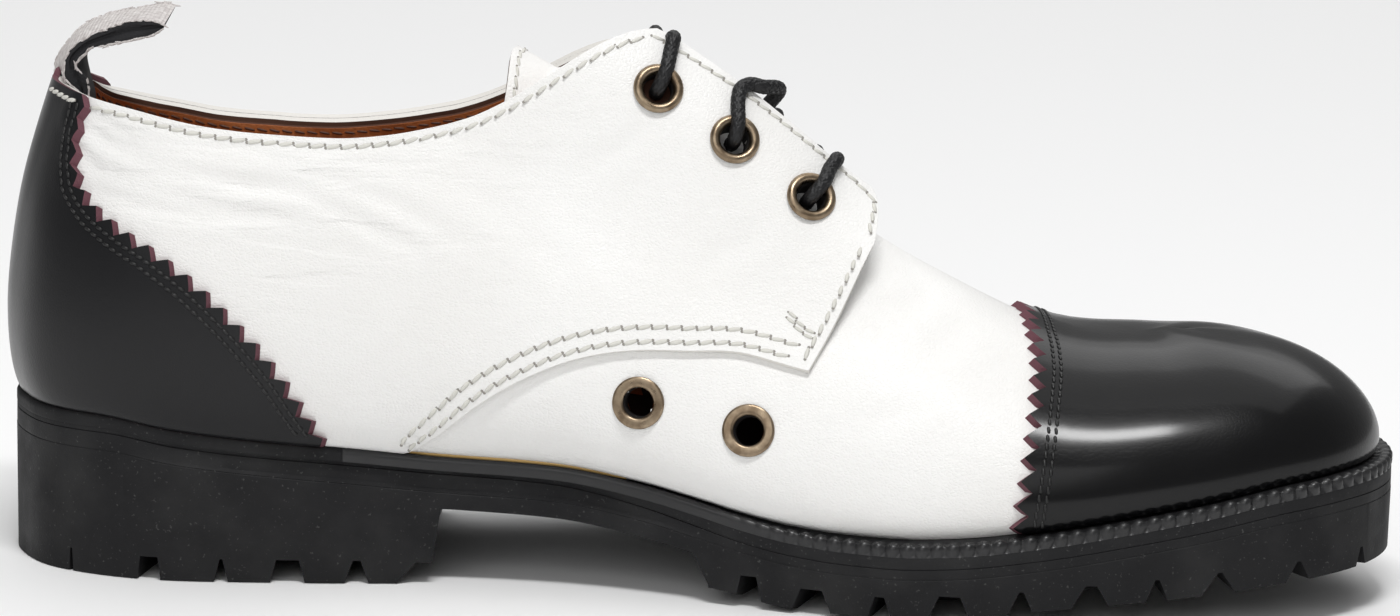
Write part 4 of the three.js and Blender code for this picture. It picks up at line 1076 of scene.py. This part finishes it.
hollow = 1.25 * ease((MARGIN - SOLE_MARGIN * 0.66) / (SOLE_MARGIN * (0.42 - 0.66)))
midsole = ringed("midsole_rubber", [
    edge_ring(OUTLINE, MARGIN - 1.6, shifted(under_welt, -0.03)),
    edge_ring(OUTLINE, MARGIN - 0.12, shifted(under_welt, -0.03)),
    edge_ring(OUTLINE, MARGIN - 0.06 - 0.3 * hollow, shifted(under_welt, -0.35)),
    edge_ring(OUTLINE, MARGIN - 0.05 - 0.8 * hollow, shifted(parting, 0.16)),
    edge_ring(OUTLINE, MARGIN - 0.24 - hollow, parting),
    edge_ring(OUTLINE, MARGIN - 0.05 - hollow, shifted(parting, -0.16)),
    edge_ring(OUTLINE, MARGIN - 0.05 - 0.75 * hollow, shifted(midsole_bottom, 0.8)),
    edge_ring(OUTLINE, MARGIN - 0.05, shifted(midsole_bottom, 0.2)),
    edge_ring(OUTLINE, MARGIN - 0.12, shifted(midsole_bottom, 0.03)),
    edge_ring(OUTLINE, MARGIN - 2, shifted(midsole_bottom, 0.03)),
], [RUBBER], smooth=40)
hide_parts("midsole")

outsole = ringed("outsole_rubber", [
    edge_ring(OUTLINE, MARGIN - 1.4, midsole_bottom),
    edge_ring(OUTLINE, MARGIN - 0.1, midsole_bottom),
    edge_ring(OUTLINE, MARGIN, shifted(midsole_bottom, -0.15)),
    edge_ring(OUTLINE, MARGIN - 0.25, lambda x: sole_bottom(x) + edge_rise(x)),
    edge_ring(OUTLINE, MARGIN - 5, sole_bottom),
], [RUBBER], smooth=30)


def loft(name, *sections):
    n = len(sections[0])
    final = (len(sections) - 1) * n
    ends = [tuple(range(n)), tuple(range(final + n - 1, final - 1, -1))]
    points = [point for section in sections for point in section]
    return solid(name, points, ends + quads(len(sections), n, turned_over=True))


def across_shoe(name, corners, start, end):
    """A bar of one section, given as corners of x and z, between two values of y."""
    return loft(name, *([(x, y, z) for x, z in corners] for y in (start, end)))


# Grooves of the edge: x on the inner edge, width at the root and at the tread.
FORE_GROOVES = [
    (115.2, 3.3, 5.7), (128.1, 4.5, 9), (142, 1.9, 5.8), (156, 4.1, 9), (170.1, 0.8, 5.7),
    (183.8, 2.2, 8.4), (196.7, 0.8, 4.9), (208.9, 0.8, 7.3), (224.2, 0.8, 5.5), (236.4, 0.8, 3.3),
]
HEEL_GROOVES = [(-22.7, 0.5, 1.0), (-5.7, 3.6, 4.8), (9.3, 0.5, 2.9), (22.6, 4.5, 7), (36.5, 1.5, 4.9)]
HEEL_ROOT = 4.8
GROOVE_REACH = (9, -15)
GROOVE_BELOW = 2.0
FAR_Y, FAR_BELOW = 70, -12


def groove_points(place, distance, half_open, half_root, bottom, root):
    r = rib(np.array([place]))[0]
    out = outward(np.array([place]))[0]

    def at(along, z):
        return (r[0] + out[0] * distance - out[1] * along, r[1] + out[1] * distance + out[0] * along, z)

    reach = half_open + (half_open - half_root) * GROOVE_BELOW / (root - bottom)
    low = bottom - GROOVE_BELOW
    return [at(-reach, low), at(reach, low), at(half_root, root), at(-half_root, root)]


def groove(place, root_width, open_width, bottom, root):
    ends = (groove_points(place, d, open_width / 2, root_width / 2, bottom, root) for d in GROOVE_REACH)
    return loft("groove", *ends)


def place_of(x, side, distance=4.5):
    s = np.linspace(0.02, BACK - 0.02, 1200)
    place = on_side(side, s)
    ring = rib(place)[:, 0] + outward(place)[:, 0] * distance
    return on_side(side, float(np.interp(-x, -ring, s)))


cutters = []
for side in SIDES:
    for x, root_width, open_width in FORE_GROOVES:
        root = float(web(x)) + 0.8 * float(ease((x - 150) / 40))
        cutters.append(groove(place_of(x, side), root_width, open_width, float(tread(x)), root))
    for x, root_width, open_width in HEEL_GROOVES:
        cutters.append(groove(place_of(x, side), root_width, open_width, 0, HEEL_ROOT))

# The waist: cut up to its arched underside, with the heel's breast running back across the shoe.
x = np.linspace(BREAST_X + 3.6, TREAD_X, 24)
arch = [(BREAST_X + 2, 4.5), *zip(x, bed(x) - 0.3 - WAIST_THICKNESS), (TREAD_X + 3.4, 4.0)]
sections = []
for y, back in ((-FAR_Y, -2.6), (-44, 0), (0, 4.6), (FAR_Y, 6)):
    section = [(a - back * (i < 2), y, b) for i, (a, b) in enumerate(arch)]
    section += [(TREAD_X + 3.4, y, FAR_BELOW), (BREAST_X + 2 - back, y, FAR_BELOW)]
    sections.append(section)
cutters.append(loft("shank", *sections))
cutters.append(across_shoe("step", [(41.3, -3), (48, 4.5), (60, 4.5), (60, -3)], -FAR_Y, FAR_Y))


def boolean(obj, other, operation):
    cut = obj.modifiers.new("cut", "BOOLEAN")
    cut.operation = operation
    cut.solver = "EXACT"
    cut.object = other
    depsgraph = bpy.context.evaluated_depsgraph_get()
    mesh = bpy.data.meshes.new_from_object(obj.evaluated_get(depsgraph))
    obj.modifiers.remove(cut)
    obj.data = mesh
    bpy.data.objects.remove(other)


def channel(name, low_x, high_x, root):
    """The ring channel behind the edge lugs, between two stations."""
    places = OUTLINE[::4]
    margin = rib(places)[:, 7]
    rings = [edge_ring(places, margin - inset, z)
             for inset, z in ((15.5, -14.0), (15.5, root), (18.7, root), (18.7, -14.0))]
    faces = quads(4, len(places), rows_meet=True, turned_over=True)
    obj = solid(name, np.concatenate(rings), faces)
    corners = [(low_x, -20), (high_x, -20), (high_x, 30), (low_x, 30)]
    boolean(obj, across_shoe("keep", corners, -FAR_Y, FAR_Y), "INTERSECT")
    return obj


def upright(obj):
    """Turns a cutter's faces outward."""
    b = bmesh.new()
    b.from_mesh(obj.data)
    bmesh.ops.recalc_face_normals(b, faces=b.faces)
    b.to_mesh(obj.data)
    b.free()
    return obj


def cross_bar(x, root, spread, start, end):
    corners = [(x - 1.6, root), (x + 1.6, root), (x + spread, FAR_BELOW), (x - spread, FAR_BELOW)]
    return across_shoe("bar", corners, start, end)


cutters.append(channel("channel_fore", TREAD_X - 4, 260, web))
cutters.append(channel("channel_heel", -60, BREAST_X + 4, HEEL_ROOT))
cutters += [cross_bar(x, float(web(x)), 2.4, -26, 32) for x in (128, 151, 174, 197)]
cutters += [cross_bar(x, HEEL_ROOT, 2.2, -16, 16) for x in (-8, 16)]
upright(outsole)
for cutter in cutters:
    boolean(outsole, upright(cutter), "DIFFERENCE")
shaded(outsole.data, 30)
bevelled(outsole, 0.5, 35)
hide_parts("outsole")

# The welt: a band with ribs across its outer edge round the forefoot, plain at the waist.
fine = np.arange(0, RING, RING / 1664)
margin = rib(fine)[:, 7]
path = edge_ring(fine, margin, 0.0)
RIB_PITCH = 3.05
wave = (0.5 + 0.5 * np.cos(2 * math.pi * distances(path) / RIB_PITCH)) ** 0.5
fore = ease((path[:, 0] - 108) / 22)
low = fore * (1 - wave)


def welt_ring(distance, z, dip=0.0, shrink=0.0):
    ring = edge_ring(fine, distance - shrink * low, z)
    ring[:, 2] -= dip * low
    return ring


def band(name, from_x, to_x, mats):
    rings = [
        welt_ring(-5.0, seat), welt_ring(np.minimum(margin - 3.4, 0.4), seat),
        welt_ring(margin - 3.0 * np.minimum(1, margin / 4), shifted(seat, -0.35)),
        welt_ring(margin - 2.5 * np.minimum(1, margin / 4), shifted(seat, -0.1), 0.5),
        welt_ring(margin - 1.6 * np.minimum(1, margin / 4), shifted(seat, 0.1), 0.75),
        welt_ring(margin - 0.8, shifted(seat, 0.1), 0.8, 0.1),
        welt_ring(margin - 0.25, shifted(seat, -0.2), 0.55, 0.5),
        welt_ring(margin + 0.1 * fore, shifted(seat, -0.75), 0.15, 0.85),
        welt_ring(margin + 0.15 * fore, shifted(seat, -1.4), 0, 0.85),
        welt_ring(margin + 0.1 * fore, shifted(under_welt, 0.55), 0, 0.7),
        welt_ring(margin - 0.02, shifted(under_welt, 0.2), 0, 0.3),
        welt_ring(margin - 0.08, under_welt), welt_ring(-5.0, under_welt),
    ]
    x = path[:, 0]
    keep = np.where((x > from_x) & (x < to_x))[0]
    start = keep[np.where(np.diff(keep) > 1)[0] + 1][0] if (np.diff(keep) > 1).any() else keep[0]
    order = [i for i in np.roll(np.arange(len(fine)), -start) if from_x < x[i] < to_x]
    bound = from_x if from_x > -100 else to_x
    before, after = (order[0] - 1) % len(fine), (order[-1] + 1) % len(fine)
    share_in = (bound - x[before]) / (x[order[0]] - x[before])
    share_out = (bound - x[after]) / (x[order[-1]] - x[after])
    points = np.concatenate([np.concatenate([
        [ring[before] * (1 - share_in) + ring[order[0]] * share_in], ring[order],
        [ring[after] * (1 - share_out) + ring[order[-1]] * share_out]]) for ring in rings])
    n, count = len(order) + 2, len(rings)
    faces = quads(count, n, rows_meet=True, ends_meet=False)
    faces.append(tuple(j * n for j in range(count)))
    faces.append(tuple(j * n + n - 1 for j in range(count))[::-1])
    return mesh_object(name, points, faces, mats, smooth=50)


welt = band("welt_rubber", RAND_END_X + 0.06, 400, [WELT])
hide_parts("welt")
rand = band("heel_rand_rubber", -400, RAND_END_X - 0.06, [RUBBER])
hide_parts("heel_rand")

# The insole, a little dished, with painted shade on its forefoot.
places = OUTLINE[::2]
edge_points = edge_ring(places, -2.05, shifted(bed, 3.0))
half_way = np.arange(len(places) // 2 + 1)
strips = []
for share in np.linspace(0, 1, 13):
    row = edge_points[half_way] * (1 - share) + edge_points[-half_way] * share
    row[:, 2] = bed(row[:, 0]) + 2.2 + 0.9 * (np.abs(share - 0.5) * 2) ** 3
    strips.append(row)
points = np.concatenate(strips)
faces = quads(len(strips), len(half_way), ends_meet=False, turned_over=True)
# Faces past 88 mm get the dark colour of painted shade, as deep in the toe.
shade = [int(points[face[0]][0] > 88) for face in faces]
insole = mesh_object("insole_lining", points, faces, [LINING, PAINTED_SHADE], shade, smooth=60)
thick = insole.modifiers.new("thick", "SOLIDIFY")
thick.thickness = 0.002
thick.offset = -1
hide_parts("insole")


# Eyelets.
DOMED = [(5.0, 0), (5.04, 0.3), (4.86, 0.72), (4.5, 1.02), (4.05, 1.12), (3.6, 1.0), (3.2, 0.6), (2.96, 0),
         (2.9, -0.8)]
FLAT = [(5.2, 0), (5.25, 0.2), (5.1, 0.42), (4.7, 0.5), (4.0, 0.5), (3.55, 0.52), (3.25, 0.38), (3.02, 0.05),
        (2.9, -0.8)]
BARREL_IN, BARREL_OUT, BARREL_END = 2.9, 3.5, -4.2


def turned(name, profile, origin, z, mats, slots, sides=48):
    x = unit(np.cross(z, (0, 0, 1.0)))
    y = np.cross(z, x)
    points = []
    for r, h in profile:
        for k in range(sides):
            a = 2 * math.pi * k / sides
            points.append(origin + (x * math.cos(a) + y * math.sin(a)) * r + z * h)
    kinds = [slot for slot in slots for _ in range(sides)]
    return mesh_object(name, points, quads(len(profile), sides, turned_over=True), mats, kinds, smooth=60)


def eyelet(name, origin, normal, base, crown):
    barrel = [(BARREL_IN, BARREL_END), (BARREL_OUT, BARREL_END), (BARREL_OUT, base), (crown[0][0], base)]
    profile = [(r, h + base) for r, h in crown] + barrel
    # The crown is brass; its inner lip and the barrel are painted dark as shade.
    obj = turned(f"{name}_metal", profile, origin, normal, [BRASS, PAINTED_SHADE], [0] * 7 + [1] * 5)
    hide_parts(name)


for name, (origin, normal) in FRAMES.items():
    eyelet(f"eyelet_{name}", origin, normal, QUARTER_OUT + 0.05, DOMED)
for name, (origin, normal) in VENTS.items():
    eyelet(f"eyelet_{name}", origin, normal, 0.06, FLAT)


# Laces: a braided round cord through each pair of eyelets.
LACE_R = 1.48
STRANDS = 8
BRAID_PITCH = 1.7
HUG = QUARTER_OUT + LACE_R * 0.85
# Places that each lace touches on the near facing and on the far one.
LACE_WAYS = {
    "top": ([(7.335, 0.85), (7.4, 0.91), (7.45, 0.95)], [(18.5, 0.925), (18.62, 0.88), (18.78, 0.84)]),
    "middle": ([(6.84, 0.82), (6.93, 0.88), (6.98, 0.925), (6.975, 0.962)],
               [(19.3, 0.93), (19.3, 0.88), (19.32, 0.84)]),
    "bottom": ([(6.26, 0.83), (6.3, 0.89), (6.325, 0.945)], [(19.62, 0.925), (19.75, 0.88), (19.85, 0.84)]),
}
# The middle lace turns over the ridge before it crosses: place, share of the rib, height above it.
MIDDLE_TURN = [(6.93, 0.985, HUG), (6.86, 1.0, HUG - 1)]
LACE_SAG = 2.4


def smooth_path(points, count):
    p = np.array(points, float)
    p = np.concatenate([[2 * p[0] - p[1]], p, [2 * p[-1] - p[-2]]])
    shares = np.linspace(0, 1, 24, endpoint=False)
    line = [curve_between(*p[i - 1:i + 3], f) for i in range(1, len(p) - 2) for f in shares]
    line = np.array([*line, p[-2]])
    d = distances(line)
    e = np.linspace(0, d[-1], count)
    return np.stack([np.interp(e, d, line[:, k]) for k in range(3)], -1), e


def braid(name, points, radius, sides=48, step=0.16):
    _, e = smooth_path(points, 50)
    path, e = smooth_path(points, int(e[-1] / step))
    tangent = unit(np.gradient(path, axis=0))
    side = np.cross(tangent[0], (0.3, 0.2, 1.0))
    angle = np.arange(sides) * 2 * math.pi / sides
    u = STRANDS * angle / (2 * math.pi)
    cos, sin = np.cos(angle)[:, None], np.sin(angle)[:, None]
    rows = []
    for p, t, v in zip(path, tangent, e / BRAID_PITCH):
        side = unit(side - t * (side @ t))
        a, b = u + v, u - v
        over = (np.floor(a) + np.floor(b)) % 2 < 1
        ridge = np.abs(np.sin(math.pi * np.where(over, a, b)))
        r = radius * (0.84 + 0.18 * ridge ** 0.6)
        rows.append(p + (side[None] * cos + np.cross(t, side)[None] * sin) * r[:, None])
    faces = quads(len(rows), sides)
    faces += [tuple(range(sides))[::-1], tuple((len(rows) - 1) * sides + k for k in range(sides))]
    return mesh_object(name, np.concatenate(rows), faces, [CORD], smooth=80)


for name in FACING_EYELETS:
    (p, pn), (q, qn) = FRAMES[f"medial_{name}"], FRAMES[f"lateral_{name}"]
    near, far = ([quarter_point(np.array(a), np.array(u), HUG) for a, u in way] for way in LACE_WAYS[name])
    middle = (near[-1] + far[0]) / 2
    middle[2] -= LACE_SAG
    if name == "middle":
        near += [quarter_point(np.array(a), np.array(u), height) for a, u, height in MIDDLE_TURN]
    line = [p - pn * 2.4, p + pn * 1.2, *near, middle, *far, q + qn * 1.2, q - qn * 2.4]
    lace = braid(f"lace_{name}", line, LACE_R)
    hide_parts(f"lace_bar_{name}")

# The pull loop: two legs of ribbon that lie together, by the lines of their edges in x and z.
LOOP_HALF = 7.4
LOOP_STEPS = 120
SIDE_STEPS = 7
NEAR_OUTER = [
    (-22.5, 88), (-22.6, 93), (-23.7, 94.6), (-24.7, 95.4), (-26.5, 97.3), (-26.6, 99.5), (-26, 102),
    (-24.1, 104.2), (-21.4, 105.9), (-17.9, 107.6), (-14.4, 109), (-11.1, 109.5), (-8.2, 109.4),
    (-6.4, 108.6),
]
NEAR_INNER = [
    (-21.4, 86), (-21.6, 90), (-21.6, 94.5), (-21.8, 96.7), (-22.9, 98.2), (-24.1, 99.5), (-23.7, 100.7),
    (-21.6, 103), (-20.6, 103.6), (-17.9, 104.2), (-13.4, 105.2), (-8.7, 106.5), (-6.4, 108),
]
FAR_OUTER = [
    (-30.2, 87), (-30.7, 91), (-31, 95.5), (-30.8, 97.9), (-29.1, 101.1), (-26.2, 104.5), (-22.2, 107.2),
    (-17.3, 108.8), (-12.4, 109.7), (-8.5, 110.6), (-6.2, 110.1),
]
FAR_INNER = [
    (-22.4, 88), (-22.6, 92), (-23.6, 95.7), (-24.2, 100), (-22, 103.4), (-18, 105.2), (-13, 106.6),
    (-8, 108.3), (-6.4, 109.6),
]


def edge_line(points, y):
    path, _ = smooth_path([(a, y, b) for a, b in points], LOOP_STEPS)
    return path


def leg(near, far, across):
    share = (across[None, :, None] + 1) / 2
    return edge_line(near, -LOOP_HALF)[:, None] * (1 - share) + edge_line(far, LOOP_HALF)[:, None] * share


def loop_walls(points, faces, n, m):
    """Adds the sides of the ribbon, with a bead along their middle, and closes both ends."""
    edges = []
    for j, sign in ((0, 1), (m - 1, -1)):
        ids = [np.arange(n) * m + j]
        for k in range(1, SIDE_STEPS):
            share = k / SIDE_STEPS
            wall = outer_leg[:, j] * (1 - share) + inner_leg[:, j] * share
            wall[:, 1] += sign * (0.5 if k in (3, 4) else -0.12)
            ids.append(sum(len(part) for part in points) + np.arange(n))
            points.append(wall)
        ids.append(n * m + np.arange(n) * m + j)
        for row, after in zip(ids, ids[1:]):
            for i in range(n - 1):
                face = [int(v) for v in (row[i], row[i + 1], after[i + 1], after[i])]
                faces.append(tuple(face[::sign]))
        edges.append(ids)
    middle = list(range(1, m - 1))
    for i, turn in ((0, 1), (n - 1, -1)):
        near_end, far_end = ([int(row[i]) for row in ids] for ids in edges)
        inner_row = [n * m + i * m + j for j in middle]
        outer_row = [i * m + j for j in middle[::-1]]
        faces.append(tuple((near_end + inner_row + far_end[::-1] + outer_row)[::turn]))


across = np.linspace(-1, 1, 21)
outer_leg, inner_leg = leg(NEAR_OUTER, FAR_OUTER, across), leg(NEAR_INNER, FAR_INNER, across)
along = np.linspace(0, 1, LOOP_STEPS)
outer_leg[..., 2] += 0.35 * np.cos(across * math.pi / 2)[None, :] * np.sin(along * math.pi)[:, None]
n, m = LOOP_STEPS, len(across)
points = [outer_leg.reshape(-1, 3), inner_leg.reshape(-1, 3)]
faces = quads(n, m, ends_meet=False)
printed = len(faces)
faces += [tuple(v + n * m for v in face) for face in quads(n, m, ends_meet=False, turned_over=True)]
loop_walls(points, faces, n, m)
kinds = [0] * printed + [1] * (len(faces) - printed)
loop = mesh_object("pull_loop_ribbon", np.concatenate(points), faces, [RIBBON, RIBBON_BACK], kinds, smooth=50)
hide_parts("pull_loop")

# Loose threads along the ribbon's edges.
FRAY_FACES = quads(3, 4) + [(3, 2, 1, 0), (8, 9, 10, 11)]
rng = np.random.default_rng(7)
points, faces = [], []
for line in (outer_leg[:, 0], outer_leg[:, -1], inner_leg[:, 0]):
    for _ in range(90):
        i = int(rng.integers(18, LOOP_STEPS))
        turn = rng.normal(0, 0.25, 3)
        turn[1] = -0.3 if line[0, 1] < 0 else 0.3
        ahead = line[min(i + 1, LOOP_STEPS - 1)] - line[i - 1]
        way = unit(unit(ahead) * rng.choice((-1, 1)) + turn * 0.6)
        side_way = unit(np.cross(way, (0.3, 0.9, 0.2)))
        other = np.cross(way, side_way)
        length = rng.uniform(0.6, 1.5)
        faces += [tuple(len(points) + v for v in face) for face in FRAY_FACES]
        for share, r in ((0, 0.2), (0.5, 0.2), (1, 0.07)):
            for angle in np.arange(4) * math.pi / 2:
                around = side_way * math.cos(angle) + other * math.sin(angle)
                points.append(line[i] + way * length * share + around * r)
fray = mesh_object("pull_loop_threads", np.array(points), faces, [RIBBON], smooth=60)

# The thin line of glue along the waist.
a = np.linspace(8.3, 6.9, 120)
r = 0.6 * np.sin(np.linspace(0.05, 0.97, len(a)) * math.pi) ** 0.4
rows = []
for angle in np.arange(8) * math.pi / 4:
    ring = last(a, np.zeros(a.shape))
    ring[:, :2] += outward(a) * (0.25 + r * math.cos(angle))[:, None]
    ring[:, 2] += 0.25 + r * 1.2 * math.sin(angle)
    rows.append(ring)
faces = quads(len(rows), len(a), rows_meet=True, ends_meet=False)
glue = mesh_object("glue_line", np.concatenate(rows), faces, [GLUE], smooth=80)

# The stage: a pale floor, soft light and the camera.
floor_mesh = bpy.data.meshes.new("floor")
floor_mesh.from_pydata([(-4, -4, 0), (4, -4, 0), (4, 6, 0), (-4, 6, 0)], [], [(0, 1, 2, 3)])
floor = bpy.data.objects.new("floor", floor_mesh)
bpy.context.scene.collection.objects.link(floor)
floor_mesh.materials.append(material("floor_paper", (0.93, 0.93, 0.93), 0.9, Specular_IOR_Level=0.1))

world = bpy.data.worlds.new("studio")
world.use_nodes = True
world.node_tree.nodes["Background"].inputs["Color"].default_value = (1, 1, 1, 1)
world.node_tree.nodes["Background"].inputs["Strength"].default_value = 0.24
bpy.context.scene.world = world
bpy.context.scene.view_settings.view_transform = "Standard"
bpy.context.scene.view_settings.look = "None"


def area_light(name, place, aim, width, height, power):
    light = bpy.data.lights.new(name, "AREA")
    light.shape = "RECTANGLE"
    light.size = width
    light.size_y = height
    light.energy = power
    obj = bpy.data.objects.new(name, light)
    bpy.context.scene.collection.objects.link(obj)
    obj.location = place
    obj.rotation_euler = (Vector(aim) - Vector(place)).to_track_quat("-Z", "Y").to_euler()

area_light("key_strip", (0.2, -0.55, 1.2), (0.1, 0, 0.05), 0.46, 0.16, 9)
area_light("front_box", (-0.3, -1.6, 0.9), (0.1, 0, 0.06), 1.6, 1.0, 7.5)
area_light("back_box", (0.3, 1.3, 1.5), (0.1, 0, 0.05), 2.0, 1.2, 7)
area_light("overhead", (0.1, 0.9, 2.0), (0.1, 0.4, 0), 3.0, 2.4, 17)

CAMERA_DISTANCE = 1.5
azimuth, elevation, roll = (math.radians(v) for v in (4.5, 12, 1.0))
target = Vector((0.102, 0, 0.055))
level = math.cos(elevation)
away = Vector((math.sin(azimuth) * level, -math.cos(azimuth) * level, math.sin(elevation)))
right = Vector((math.cos(azimuth), math.sin(azimuth), 0))
rise = away.cross(right)
turned_right = right * math.cos(roll) + rise * math.sin(roll)
turned_up = rise * math.cos(roll) - right * math.sin(roll)
camera_data = bpy.data.cameras.new("camera")
camera_data.sensor_width = 36
camera_data.lens = 190.8
camera_data.shift_y = -0.00786
camera_data.clip_start = 0.05
camera_data.clip_end = 30
camera = bpy.data.objects.new("camera", camera_data)
bpy.context.scene.collection.objects.link(camera)
turn = Matrix((turned_right, turned_up, away)).transposed().to_4x4()
camera.matrix_world = Matrix.Translation(target + away * CAMERA_DISTANCE) @ turn
bpy.context.scene.camera = camera
